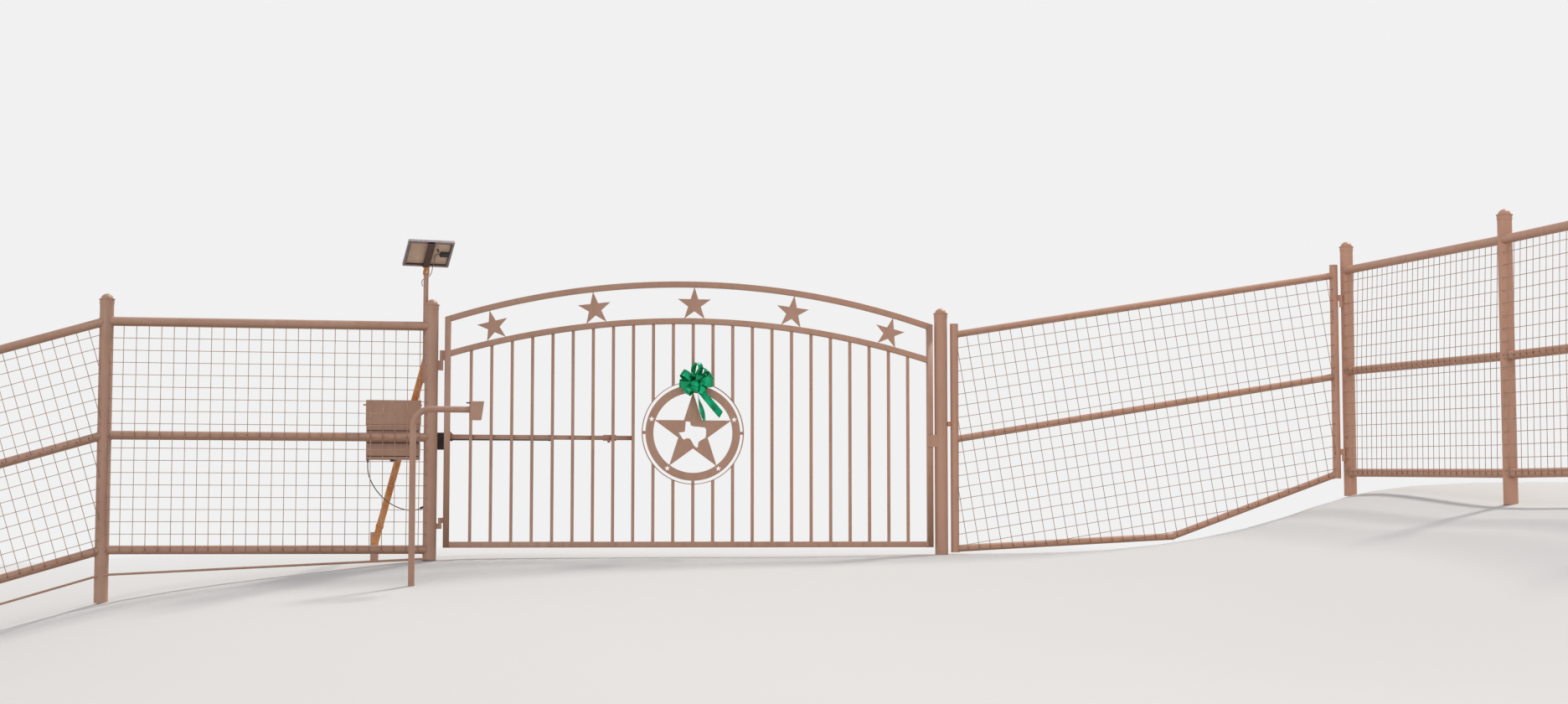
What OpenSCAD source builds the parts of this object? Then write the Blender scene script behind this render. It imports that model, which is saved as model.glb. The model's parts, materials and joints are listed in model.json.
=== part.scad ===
// Ranch entrance: an arched swing gate with a screw operator, a side gate that
// follows a slope, and pipe fence bays filled with welded wire mesh.
// Origin at the foot of the hinge post, +X along the gate, +Y into the property.

/* [Posts] */
// Outside diameter of the posts
post_od = 114.3; // [90:0.1:140]
// Hinge post to latch post, centre to centre
gate_span = 4456; // [3400:1:5400]
// Latch post to corner post, centre to centre
side_span = 3836; // [3000:1:4600]
// Length of one fence bay on the left
left_span = 2670; // [2000:1:3300]
// Length of one fence bay on the wing
wing_span = 3013; // [2300:1:3600]
// Top of the gate posts above the foot of the hinge post
post_top = 2210; // [2100:1:2700]
// Drop of the ground at the left line post
left_drop = 345; // [200:1:420]
// Rise of the ground at the latch post
latch_rise = 40; // [0:1:60]
// Rise of the ground at the corner post
corner_rise = 565; // [480:1:640]
// Rise of the ground at the first wing post
wing_rise = 450; // [380:1:540]
// Rise of the ground at the last wing post
wing_end_rise = 400; // [340:1:480]
// Height of the corner post top above the gate posts
corner_top_rise = 680; // [600:1:760]
// Height of the first wing post top above the gate posts
wing_top_rise = 580; // [500:1:650]
// Height of the last wing post top above the gate posts
wing_end_top_rise = 530; // [450:1:600]

/* [Post caps] */
// Overhang of the cap lip past the post
cap_lip_over = 8.35; // [5:0.05:20]
// Thickness of the cap lip
cap_lip_h = 6; // [4:1:10]
// Setback of the dome inside the post
cap_dome_in = 5.15; // [0:0.05:15]
// Height of the dome
cap_dome_h = 45; // [25:1:52]
// Length of the cap skirt
cap_skirt_h = 36; // [20:1:60]
// Wall of the cap skirt
cap_wall = 2.4; // [1.5:0.1:4]

/* [Fence] */
// Outside diameter of the fence rails
rail_od = 73; // [55:0.1:80]
// Setback of the rails' front behind the front of the posts
rail_setback = 4.65; // [2:0.05:12]
// Depth of the top rail below the post top
top_rail_drop = 230; // [190:1:300]
// Height of the middle rail
mid_rail_z = 1035; // [980:1:1090]
// Height of the bottom rail
bottom_rail_z = 90; // [80:1:130]
// Fall of the outer left bay for each unit of length
left_fall = 0.297; // [0.2:0.001:0.34]
// Diameter of the ground rod
rod_d = 19; // [12:1:25]
// Depth of the ground rod below the bottom rail
rod_drop = 205; // [170:1:240]
// Height of the ground rod at the hinge post
rod_end_z = 14; // [12:1:30]
// Wing top rail height above the left top rail at the corner post
wing_lift = 645; // [560:1:700]
// Fall of the first wing bay for each unit of length
wing_fall = 0.0265; // [0:0.0005:0.05]
// Fall of the second wing bay for each unit of length
wing_end_fall = 0.0165; // [0:0.0005:0.05]
// Spacing of the wing rails
wing_rail_gap = 924; // [850:1:960]

/* [Mesh] */
// Spacing of the welded wires
mesh_pitch = 101.2; // [76:0.1:150]
// Diameter of the mesh wire
wire_d = 5.7; // [4:0.1:8]

/* [Main gate] */
// Gap between the leaf and the latch post
leaf_latch_gap = 19.8; // [15:0.1:40]
// Gap between the hinge post and the leaf
hinge_gap = 54.9; // [50:0.1:70]
// Bottom of the leaf above the foot of the hinge post
leaf_z = 105; // [80:1:200]
// Size of the square frame tube
frame_tube = 50.8; // [38:0.1:60]
// Depth of the leaf's stiles below the post top
stile_drop = 148; // [100:1:260]
// Rise of the upper arch from the stiles to its crown
arch_rise = 343; // [280:1:420]
// Radial gap between the two arches at the crown
arch_gap = 269; // [220:1:320]
// Radius of the lower arch at its outer face
lower_arch_r = 7240; // [6900:1:9000]
// Number of pickets
pickets = 23; // [21:2:27]
// Size of the square pickets
picket_w = 25.4; // [19:0.1:30]
// Size of the square middle rail
gate_rail_w = 38.1; // [32:0.1:44]
// Height of the middle rail above the foot of the hinge post
gate_rail_z = 1045; // [990:1:1100]
// Spacing of neighbouring arch stars, centre to centre
star_pitch = 884; // [700:1:1000]
// Offset of the arch stars from the middle of the leaf
star_shift = 10; // [-40:1:40]
// Thickness of the cut plate
plate_t = 6.4; // [4:0.1:10]

/* [Medallion] */
// Height of the medallion centre above the foot of the hinge post
medal_z = 1092; // [1000:1:1250]
// Outer radius of the rolled flat ring
ring_r = 445; // [400:1:500]
// Thickness of the rolled flat ring
ring_t = 6.4; // [5:0.1:10]
// Depth of the rolled flat ring
ring_d = 25.4; // [20:0.1:32]
// Outer radius of the cut plate
medal_r = 413; // [370:1:430]
// Inner radius of the cut plate
medal_in_r = 345; // [300:1:360]
// Radius of the small star cut-outs
small_star_r = 27; // [18:1:30]

/* [Hinges] */
// Outside diameter of the hinge barrels
barrel_od = 28.6; // [25:0.1:34]
// Diameter of the hinge pins
pin_d = 16; // [12:0.1:18]
// Clearance of the hinge bores over the pins, on the diameter
pin_play = 0.8; // [0.4:0.1:1.2]
// Depth of the upper hinge below the top of the stiles
upper_hinge_drop = 372; // [330:1:460]
// Height of the lower hinge joint line
lower_hinge_z = 310; // [260:1:400]
// Length of each upper hinge barrel
upper_barrel_h = 84; // [60:1:100]
// Length of each lower hinge barrel
lower_barrel_h = 46; // [40:1:90]

/* [Side gate] */
// Gap between the side leaf and the latch post
side_latch_gap = 28.7; // [20:0.1:50]
// Gap between the side leaf and the corner post
side_hinge_gap = 35; // [32:1:50]
// Outside diameter of the side gate stiles
side_stile_od = 73; // [60:0.1:80]
// Outside diameter of the side gate rails
side_rail_od = 60.3; // [48:0.1:66]
// Slope of the side gate rails
side_slope = 0.167; // [0.1:0.001:0.2]
// Bottom of the latch stile
side_low_z = 60; // [50:1:120]
// Depth of the latch stile's top below the post top
side_latch_drop = 135; // [100:1:200]
// Depth of the top rail below the top of the latch stile
side_top_drop = 96; // [80:1:160]
// Height of the middle rail at the latch stile
side_mid_z = 1053; // [1000:1:1100]
// Height of the bottom rail at the latch stile
side_bottom_z = 94; // [90:1:140]
// Distance from the latch stile to the bend of the bottom rail
side_bend_x = 2005; // [1700:1:2300]
// Height of the bottom rail at the bend
side_bend_z = 200; // [160:1:260]
// Height of the bottom rail at the hinge stile
side_bottom_end_z = 736; // [650:1:800]

/* [Operator] */
// Distance of the rear pivot behind the post centre
rear_pivot_y = 220; // [210:1:240]
// Distance of the front pivot from the hinge axis
front_pivot_x = 1442.4; // [1380:0.1:1500]
// Distance of the front pivot behind the leaf centre
front_pivot_y = 100; // [90:1:110]
// Outside diameter of the operator tube
operator_tube_od = 50; // [44:1:56]
// Diameter of the sliding rod
operator_rod_d = 25; // [20:1:30]
// Length of the operator tube from the rear pivot
operator_tube_l = 1060; // [1000:1:1150]

/* [Keypad stand] */
// Outside diameter of the bent pole
keypad_pole_od = 50.8; // [42:0.1:60]
// Height of the keypad arm above the foot of the hinge post
keypad_arm_z = 1219; // [1100:1:1350]
// Radius of the bend at its centre line
keypad_bend_r = 140; // [100:1:200]
// Width of the keypad housing across the drive face
keypad_box_y = 127; // [100:1:160]
// Height of the keypad housing
keypad_box_h = 147; // [130:1:200]

/* [Control box] */
// Width of the control box
box_w = 450; // [360:1:460]
// Height of the control box
box_h = 500; // [400:1:600]
// Depth of the control box
box_d = 180; // [140:1:220]
// Height of the lid's hood
hood_h = 204; // [150:1:260]
// Sheet thickness of the box
box_wall = 2; // [1.5:0.1:4]

/* [Solar panel] */
// Width of the panel
panel_w = 396; // [340:1:480]
// Length of the panel along its slope
panel_l = 290; // [240:1:360]
// Depth of the panel frame
panel_t = 25; // [20:1:35]
// Tilt of the panel from level
panel_tilt = 40; // [25:1:50]
// Turn of the panel about its pole
panel_turn = 12; // [0:1:20]
// Outside diameter of the panel pole
solar_pole_od = 42.2; // [38:0.1:44]
// Depth of the panel pole's foot below the post top
solar_pole_down = 710; // [600:1:820]
// Height of the panel pole above the post top
solar_pole_up = 270; // [210:1:350]

/* [Hidden] */
$fn = 48;

paint = [0.66, 0.54, 0.46];
wire_paint = [0.60, 0.50, 0.43];
dark = [0.06, 0.06, 0.06];
bright = [0.75, 0.75, 0.76];
green = [0.0, 0.55, 0.33];
rust = [0.62, 0.38, 0.24];
cable_grey = [0.25, 0.24, 0.22];
sheet_white = [0.8, 0.76, 0.7];

post_r = post_od / 2;
rail_r = rail_od / 2;
corner_x = gate_span + side_span;
leaf_w = gate_span - post_od - hinge_gap - leaf_latch_gap;
side_w = side_span - post_od - side_hinge_gap - side_latch_gap;
stile_top = post_top - stile_drop;
upper_hinge_z = stile_top - upper_hinge_drop;
side_latch_top = post_top - side_latch_drop;
side_top_z = side_latch_top - side_top_drop;
top_rail_z = post_top - top_rail_drop;
rail_offset = (post_od - rail_od) / 2 - rail_setback;
cap_lip_d = post_od + 2 * cap_lip_over;
cap_dome_d = post_od - 2 * cap_dome_in;
solar_pole_low = post_top - solar_pole_down;
solar_pole_top = post_top + solar_pole_up;
touch = 0.2;

// Seats of the posts: place, foot and top
hinge_seat = [0, 0, 0, post_top];
latch_seat = [gate_span, 0, latch_rise, post_top];
corner_seat = [corner_x, 0, corner_rise, post_top + corner_top_rise];
outer_drop = left_fall * left_span;
line_seats = [
    [-2 * left_span, 0, -left_drop - outer_drop, post_top - outer_drop],
    [-left_span, 0, -left_drop, post_top],
    [corner_x, -wing_span, wing_rise, post_top + wing_top_rise],
    [corner_x, -2 * wing_span, wing_end_rise, post_top + wing_end_top_rise]
];
cap_h = cap_lip_h + cap_dome_h;

module post(seat) {
    translate([seat[0], seat[1], seat[2]])
        cylinder(d = post_od, h = seat[3] - cap_h - seat[2]);
}

module post_cap() {
    dome_r = (pow(cap_dome_d / 2, 2) + pow(cap_dome_h, 2)) / (2 * cap_dome_h);
    union() {
        cylinder(d = cap_lip_d, h = cap_lip_h);
        intersection() {
            translate([0, 0, cap_lip_h + cap_dome_h - dome_r]) sphere(r = dome_r, $fn = 64);
            translate([0, 0, cap_lip_h - 1]) cylinder(d = cap_lip_d, h = cap_dome_h + 2);
        }
        translate([0, 0, -cap_skirt_h]) difference() {
            cylinder(r = post_r + touch + cap_wall, h = cap_skirt_h + 1);
            translate([0, 0, -1]) cylinder(r = post_r + touch, h = cap_skirt_h + 1);
        }
    }
}

// A round bar from one point to another
module bar_between(a, b, d) {
    run = b - a;
    flat = norm([run[0], run[1]]);
    translate(a)
        rotate([0, atan2(flat, run[2]), atan2(run[1], run[0])])
            cylinder(d = d, h = norm(run));
}

// Holds the children of a bay that starts at a post and runs along its local +X
module outer_left_place() {
    translate([-2 * left_span, 0, -outer_drop]) children();
}

module left_place() {
    translate([-left_span, 0, 0]) children();
}

module wing_place() {
    translate([corner_x, 0, wing_lift]) rotate([0, 0, -90]) children();
}

wing_end_z = wing_lift - wing_fall * wing_span;

module wing_end_place() {
    translate([corner_x, -wing_span, wing_end_z]) rotate([0, 0, -90]) children();
}

// One rail of a bay, coped to the posts at both of its ends
module bay_rail(span, z, slope) {
    reach = rail_r + abs(slope) * post_r + 1;
    difference() {
        bar_between([0, -rail_offset, z], [span, -rail_offset, z + slope * span], rail_od);
        for (x = [0, span])
            translate([x, 0, z + slope * x - 2 * reach]) cylinder(d = post_od, h = 4 * reach);
    }
}

rail_heights = [bottom_rail_z, mid_rail_z, top_rail_z];
wing_heights = [for (k = [0 : 2]) top_rail_z - (2 - k) * wing_rail_gap];

module bay_rails(span, heights, slope) {
    for (z = heights) bay_rail(span, z, slope);
}

wire_y = rail_offset + rail_r + wire_d / 2;
wire_post_clear = 3;
wire_post_gap = sqrt(pow(post_r, 2) - pow(wire_y - wire_d / 2, 2)) + wire_post_clear;
// Extra inset of the upper mesh at its top, where the wires lean back beside the posts
mesh_inset = 24;
// Angle around the top rail, down from its front, where the upper wires end
mesh_end_turn = 30;
// Gap from the middle rail's axis to each mesh panel that ends there
mesh_part = 1;
mesh_hook = 30;
// Where two wires of a panel cross: distance along its bay, and depth below the middle rail's axis
outer_upper_phase = [160, 5];
outer_lower_phase = [129, 10];
left_phase = [144, 5];
wing_phase = [104, -8];
side_phase = [155, 18];

// Flat lattice inside an outline, its wires square to a slope through the anchor point
module lattice(outline, anchor, slope, reach) {
    cells = ceil(reach / mesh_pitch) + 2;
    open = mesh_pitch - wire_d;
    difference() {
        polygon(outline);
        translate(anchor) rotate(atan(slope))
            for (i = [-cells : cells], j = [-cells : cells])
                if (cell_meets(outline, anchor, slope, i, j))
                    translate([i * mesh_pitch + wire_d / 2, j * mesh_pitch + wire_d / 2])
                        square(open);
    }
}

// True when a lattice cell lies near enough to the outline to cut it
function cell_meets(outline, anchor, slope, i, j) =
    let (
        a = atan(slope),
        u = (i + 0.5) * mesh_pitch,
        v = (j + 0.5) * mesh_pitch,
        x = anchor[0] + u * cos(a) - v * sin(a),
        z = anchor[1] + u * sin(a) + v * cos(a),
        low = outline[0][1] + (outline[1][1] - outline[0][1])
            * (x - outline[0][0]) / (outline[1][0] - outline[0][0]),
        high = outline[3][1] + (outline[2][1] - outline[3][1])
            * (x - outline[3][0]) / (outline[2][0] - outline[3][0])
    )
    x > outline[0][0] - mesh_pitch && x < outline[1][0] + mesh_pitch
        && z > low - mesh_pitch && z < high + mesh_pitch;

// Wires in front of the bottom rail and up to the middle of the middle rail
module lower_mesh(span, low, mid, slope, phase, start = wire_post_gap) {
    outline = [
        [start, low - mesh_hook + slope * start],
        [span - wire_post_gap, low - mesh_hook + slope * (span - wire_post_gap)],
        [span - wire_post_gap, mid - mesh_part + slope * (span - wire_post_gap)],
        [start, mid - mesh_part + slope * start]
    ];
    translate([0, -wire_y + wire_d / 2, 0]) rotate([90, 0, 0])
        linear_extrude(wire_d)
            lattice(outline, [phase[0], mid - phase[1] + slope * phase[0]], slope, span);
}

// Wires from the middle rail that lean back to end under the top rail
module upper_mesh(span, mid, top, slope, phase) {
    rail_under = rail_r * cos(mesh_end_turn);
    lean = atan((rail_r - rail_r * sin(mesh_end_turn)) / (top - rail_under - mid));
    edge = wire_post_gap + mesh_inset;
    outline = [
        [wire_post_gap, mid + mesh_part + slope * wire_post_gap],
        [span - wire_post_gap, mid + mesh_part + slope * (span - wire_post_gap)],
        [span - edge, top - rail_under - wire_d + slope * (span - edge)],
        [edge, top - rail_under - wire_d + slope * edge]
    ];
    translate([0, -wire_y + wire_d / 2, mid])
        rotate([0, -atan(slope), 0]) rotate([-lean, 0, 0]) rotate([0, atan(slope), 0])
            translate([0, 0, -mid]) rotate([90, 0, 0]) linear_extrude(wire_d)
                lattice(outline, [phase[0], mid - phase[1] + slope * phase[0]], slope, span);
}

// Fence posts

module hinge_post() {
    color(paint) post(hinge_seat);
}

module latch_post() {
    color(paint) post(latch_seat);
}

module corner_post() {
    color(paint) post(corner_seat);
}

module line_posts() {
    color(paint) for (seat = line_seats) post(seat);
}

module post_caps() {
    color(paint) difference() {
        for (seat = concat([hinge_seat, latch_seat, corner_seat], line_seats))
            translate([seat[0], seat[1], seat[3] - cap_h]) post_cap();
        translate([solar_at[0], solar_at[1], solar_pole_low])
            cylinder(d = solar_pole_od + 2 * touch, h = solar_pole_top - solar_pole_low);
    }
}

// Fence rails and mesh

module outer_left_rails() {
    color(paint) outer_left_place() bay_rails(left_span, rail_heights, left_fall);
}

module left_rails() {
    color(paint) left_place() bay_rails(left_span, rail_heights, 0);
}

module wing_rails() {
    color(paint) {
        wing_place() bay_rails(wing_span, wing_heights, -wing_fall);
        wing_end_place() bay_rails(wing_span, wing_heights, -wing_end_fall);
    }
}

module ground_rods() {
    low = bottom_rail_z - rod_drop;
    y = -post_r + rod_d / 2;
    color(paint) difference() {
        union() {
            bar_between([-2 * left_span, y, low - outer_drop], [-left_span - 1, y, low], rod_d);
            bar_between([-left_span + 1, y, low], [0, y, rod_end_z], rod_d);
        }
        for (x = [-2 * left_span, -left_span, 0])
            translate([x, 0, low - outer_drop - rod_drop])
                cylinder(d = post_od, h = outer_drop + 4 * rod_drop);
    }
}

module outer_left_mesh_upper() {
    color(wire_paint) outer_left_place()
        upper_mesh(left_span, mid_rail_z, top_rail_z, left_fall, outer_upper_phase);
}

module outer_left_mesh_lower() {
    color(wire_paint) outer_left_place()
        lower_mesh(left_span, bottom_rail_z, mid_rail_z, left_fall, outer_lower_phase);
}

module left_mesh_upper() {
    color(wire_paint) left_place() upper_mesh(left_span, mid_rail_z, top_rail_z, 0, left_phase);
}

module left_mesh_lower() {
    color(wire_paint) left_place() lower_mesh(left_span, bottom_rail_z, mid_rail_z, 0, left_phase);
}

module wing_mesh_upper() {
    color(wire_paint) wing_place()
        upper_mesh(wing_span, wing_heights[1], wing_heights[2], -wing_fall, wing_phase);
}

module wing_mesh_lower() {
    color(wire_paint) wing_place()
        lower_mesh(
            wing_span, wing_heights[0], wing_heights[1], -wing_fall, wing_phase, hinge_clear - side_hinge_y
        );
}

module wing_end_mesh_upper() {
    color(wire_paint) wing_end_place()
        upper_mesh(wing_span, wing_heights[1], wing_heights[2], -wing_end_fall, wing_phase);
}

module wing_end_mesh_lower() {
    color(wire_paint) wing_end_place()
        lower_mesh(wing_span, wing_heights[0], wing_heights[1], -wing_end_fall, wing_phase);
}

// Hinges: a pinned barrel on the post carries a bored barrel on the leaf

hinge_x = post_r + hinge_gap / 2;
side_hinge_x = corner_x - post_r - side_hinge_gap / 2;
side_hinge_y = -30;
hinge_clear = 3;
side_latch_x = corner_x - post_r - side_hinge_gap - side_w;
side_latch_stile_x = side_latch_x + side_stile_od / 2;
side_hinge_stile_x = side_latch_x + side_w - side_stile_od / 2;
side_run = side_hinge_stile_x - side_latch_stile_x;
barrel_gap = 2;
hinge_plate_t = 12;
weld_lap = 2;
side_hinge_up = 265;
side_hinge_down = 1140;

// Lower half of a hinge: barrel, pin and the weld plate back to the post at -X
module hinge_pin_half(h, plate_l) {
    union() {
        translate([0, 0, -h]) cylinder(d = barrel_od, h = h);
        translate([0, 0, -1]) cylinder(d = pin_d, h = h);
        translate([-barrel_od / 2 - plate_l, -hinge_plate_t / 2, -h])
            cube([plate_l + barrel_od / 4, hinge_plate_t, h]);
    }
}

// Upper half of a hinge: bored barrel and the weld plate to the leaf at +X
module hinge_bore_half(h, plate_l) {
    difference() {
        union() {
            translate([0, 0, barrel_gap]) cylinder(d = barrel_od, h = h);
            translate([barrel_od / 4, -hinge_plate_t / 2, barrel_gap])
                cube([plate_l + barrel_od / 4, hinge_plate_t, h]);
        }
        translate([0, 0, -1]) cylinder(d = pin_d + pin_play, h = h + 2 * barrel_gap + 2);
    }
}

module gate_hinge_pins() {
    plate_l = (hinge_gap - barrel_od) / 2;
    color(paint) difference() {
        for (hinge = [[upper_hinge_z, upper_barrel_h], [lower_hinge_z, lower_barrel_h]])
            translate([hinge_x, 0, hinge[0]]) hinge_pin_half(hinge[1], plate_l + weld_lap);
        cylinder(d = post_od, h = post_top);
    }
}

module gate_hinge_barrels() {
    plate_l = (hinge_gap - barrel_od) / 2;
    color(paint)
        for (hinge = [[upper_hinge_z, upper_barrel_h], [lower_hinge_z, lower_barrel_h]])
            translate([hinge_x, 0, hinge[0]]) hinge_bore_half(hinge[1], plate_l);
}

side_hinge_heights = [side_latch_top + side_hinge_up, side_latch_top - side_hinge_down];
side_barrel_h = 55;
side_post_run = [corner_x - side_hinge_x, -side_hinge_y];
side_stile_run = [side_hinge_stile_x - side_hinge_x, -side_hinge_y];

module side_hinge_pins() {
    plate_l = norm(side_post_run) - post_r - barrel_od / 2;
    color(paint) difference() {
        for (z = side_hinge_heights)
            translate([side_hinge_x, side_hinge_y, z])
                rotate([0, 0, 180 + atan2(side_post_run[1], side_post_run[0])])
                    hinge_pin_half(side_barrel_h, plate_l + weld_lap);
        translate([corner_x, 0, 0]) cylinder(d = post_od, h = 2 * post_top);
    }
}

module side_hinge_barrels() {
    plate_l = norm(side_stile_run) - side_stile_od / 2 - barrel_od / 2;
    color(paint) difference() {
        for (z = side_hinge_heights)
            translate([side_hinge_x, side_hinge_y, z])
                rotate([0, 0, atan2(side_stile_run[1], side_stile_run[0])])
                    hinge_bore_half(side_barrel_h, plate_l + weld_lap);
        translate([side_hinge_stile_x, 0, 0]) cylinder(d = side_stile_od, h = 2 * post_top);
    }
}

// Stop plate that the closed leaf meets, welded to the front of the latch post
stop_h = 108;
stop_lap = 62;
stop_gap = 5;
stop_drop = 8;
stop_corner = 6;
stop_slant = [20, 22];

module gate_stop() {
    x_low = leaf_x + leaf_w - stop_lap;
    y_back = -frame_tube / 2 - stop_gap;
    color(paint) difference() {
        translate([0, y_back, gate_rail_z - stop_h / 2 - stop_drop]) rotate([90, 0, 0])
            linear_extrude(plate_t)
                polygon([
                    [x_low + stop_corner, 0], [gate_span, 0], [gate_span, stop_h],
                    [x_low + stop_slant[0], stop_h], [x_low, stop_h - stop_slant[1]], [x_low, stop_corner]
                ]);
        translate([gate_span, 0, 0]) cylinder(d = post_od, h = post_top);
    }
}

// Main gate leaf

leaf_x = post_r + hinge_gap;
leaf_mid_x = leaf_x + leaf_w / 2;
inner_x = leaf_x + frame_tube;
inner_w = leaf_w - 2 * frame_tube;
picket_pitch = inner_w / (pickets + 1);
crown_z = stile_top + arch_rise;
upper_arch_r = (pow(leaf_w / 2, 2) + pow(arch_rise, 2)) / (2 * arch_rise);
upper_arch_z = crown_z - upper_arch_r;
lower_crown_z = crown_z - frame_tube - arch_gap;
lower_arch_z = lower_crown_z - lower_arch_r;

function upper_inner(x) =
    upper_arch_z + sqrt(pow(upper_arch_r - frame_tube, 2) - pow(x - leaf_mid_x, 2));
function lower_outer(x) =
    lower_arch_z + sqrt(pow(lower_arch_r, 2) - pow(x - leaf_mid_x, 2));
function lower_inner(x) =
    lower_arch_z + sqrt(pow(lower_arch_r - frame_tube, 2) - pow(x - leaf_mid_x, 2));

arch_sides = 720;
ring_sides = 96;

// Stands a flat outline up in the plane of the leaf, centred on it
module upright(t) {
    translate([0, t / 2, 0]) rotate([90, 0, 0]) linear_extrude(t) children();
}

module gate_stiles() {
    color(paint) upright(frame_tube) intersection() {
        translate([leaf_mid_x, upper_arch_z]) circle(r = upper_arch_r, $fn = arch_sides);
        union()
            for (x = [leaf_x, leaf_x + leaf_w - frame_tube])
                translate([x, leaf_z]) square([frame_tube, crown_z - leaf_z]);
    }
}

module gate_bottom_rail() {
    color(paint)
        translate([inner_x, -frame_tube / 2, leaf_z]) cube([inner_w, frame_tube, frame_tube]);
}

module rolled_arch(r, z) {
    upright(frame_tube) intersection() {
        translate([leaf_mid_x, z]) difference() {
            circle(r = r, $fn = arch_sides);
            circle(r = r - frame_tube, $fn = arch_sides);
        }
        translate([inner_x, medal_z]) square([inner_w, crown_z]);
    }
}

module gate_upper_arch() {
    color(paint) rolled_arch(upper_arch_r, upper_arch_z);
}

module gate_lower_arch() {
    color(paint) rolled_arch(lower_arch_r, lower_arch_z);
}

module picket_piece(x, low, high) {
    translate([x - picket_w / 2, -picket_w / 2, low]) cube([picket_w, picket_w, high - low]);
}

// Pickets, the middle ones parted by the medallion ring and the centre one by its plate
module gate_pickets() {
    base = leaf_z + frame_tube;
    color(paint) difference() {
        for (k = [1 : pickets]) {
            x = inner_x + k * picket_pitch;
            picket_piece(x, base, lower_inner(x) + frame_tube / 2);
        }
        upright(2 * frame_tube) translate([leaf_mid_x, lower_arch_z]) difference() {
            circle(r = lower_arch_r + frame_tube, $fn = arch_sides);
            circle(r = lower_arch_r - frame_tube, $fn = arch_sides);
        }
        upright(2 * frame_tube) translate([leaf_mid_x, medal_z]) circle(r = ring_r, $fn = ring_sides);
    }
}

// Five-pointed star with one point up
function star_points(r, n = 5) =
    let (inner = r * sin(18) / sin(126))
    [for (k = [0 : 2 * n - 1])
        let (a = 90 + k * 36, d = k % 2 == 0 ? r : inner)
        [d * cos(a), d * sin(a)]];

star_count = 5;
star_lap = 3;
star_height = 1 + cos(36);

module arch_stars() {
    color(paint) upright(plate_t) intersection() {
        union()
            for (k = [0 : star_count - 1]) {
                dx = (k - (star_count - 1) / 2) * star_pitch + star_shift;
                low = lower_outer(leaf_mid_x + dx);
                high = upper_inner(leaf_mid_x + dx);
                lean = -asin(dx / lower_arch_r);
                r = (high - low) * cos(lean) / star_height + star_lap;
                translate([leaf_mid_x + dx, high]) rotate(lean)
                    translate([0, star_lap - r]) polygon(star_points(r));
            }
        difference() {
            translate([leaf_mid_x, upper_arch_z]) circle(r = upper_arch_r - frame_tube, $fn = arch_sides);
            translate([leaf_mid_x, lower_arch_z]) circle(r = lower_arch_r, $fn = arch_sides);
        }
    }
}

// Flat bar rolled to a ring, and the four tabs that carry the cut plate inside it
module medallion_ring() {
    color(paint) upright(ring_d) translate([leaf_mid_x, medal_z]) difference() {
        circle(r = ring_r, $fn = ring_sides);
        circle(r = ring_r - ring_t, $fn = ring_sides);
    }
}

plate_lap = 8;
tab_w = 26;
star_r = medal_in_r + plate_lap;
// Corners of the large star's cut-out, for a star of this radius
cut_star_r = 353;
star_cut = [
    [-63, 99], [-25, 96], [-19, 65], [5, 56], [52, 53], [106, 46], [115, 30], [115, -20], [108, -42],
    [69, -64], [48, -81], [42, -127], [24, -124], [6, -105], [-10, -75], [-25, -52], [-43, -46],
    [-63, -50], [-79, -59], [-94, -46], [-110, -20], [-124, 1], [-71, 10]
];

// Cut plate: outer band, large star with a cut-out, and five small star cut-outs
module medallion_star() {
    tab_l = ring_r - medal_r + plate_lap;
    band_mid_r = (medal_r + medal_in_r) / 2;
    color(paint) upright(plate_t) translate([leaf_mid_x, medal_z]) difference() {
        union() {
            difference() {
                circle(r = medal_r, $fn = ring_sides);
                circle(r = medal_in_r, $fn = ring_sides);
            }
            polygon(star_points(star_r));
            intersection() {
                circle(r = ring_r - ring_t, $fn = ring_sides);
                union() {
                    for (s = [-1, 1])
                        translate([s > 0 ? medal_r - plate_lap : -ring_r, -tab_w / 2])
                            square([tab_l, tab_w]);
                    translate([-picket_w / 2, medal_r - plate_lap]) square([picket_w, tab_l]);
                    translate([-picket_w / 2, -ring_r]) square([picket_w, tab_l]);
                }
            }
        }
        scale(star_r / cut_star_r) polygon(star_cut);
        for (k = [0 : 4])
            rotate(k * 72) translate([0, band_mid_r]) polygon(star_points(small_star_r));
    }
}

// Middle rail behind the pickets, from the hinge stile to a picket beside the medallion
rail_picket = 9;

module gate_middle_rail() {
    x_end = inner_x + rail_picket * picket_pitch + picket_w / 2;
    color(paint)
        translate([inner_x, picket_w / 2, gate_rail_z - gate_rail_w / 2])
            cube([x_end - inner_x, gate_rail_w, gate_rail_w]);
}

// Operator: motor and tube turn on the rear pivot, the rod slides in the tube

rear_pivot = [-20, rear_pivot_y, gate_rail_z];
front_pivot = [hinge_x + front_pivot_x, front_pivot_y, gate_rail_z];
operator_run = front_pivot - rear_pivot;
operator_l = norm(operator_run);
operator_angle = atan2(operator_run[1], operator_run[0]);
pivot_pin_d = 16;
pin_end = 6;
ear_t = 8;
eye_d = 44;
motor_start = 55;
motor_l = 150;
motor_w = 96;
motor_h = 146;
motor_down = 105;
motor_eye_h = 24;
motor_arm_w = 28;
tube_floor = 10;
rod_play = 2;

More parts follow.
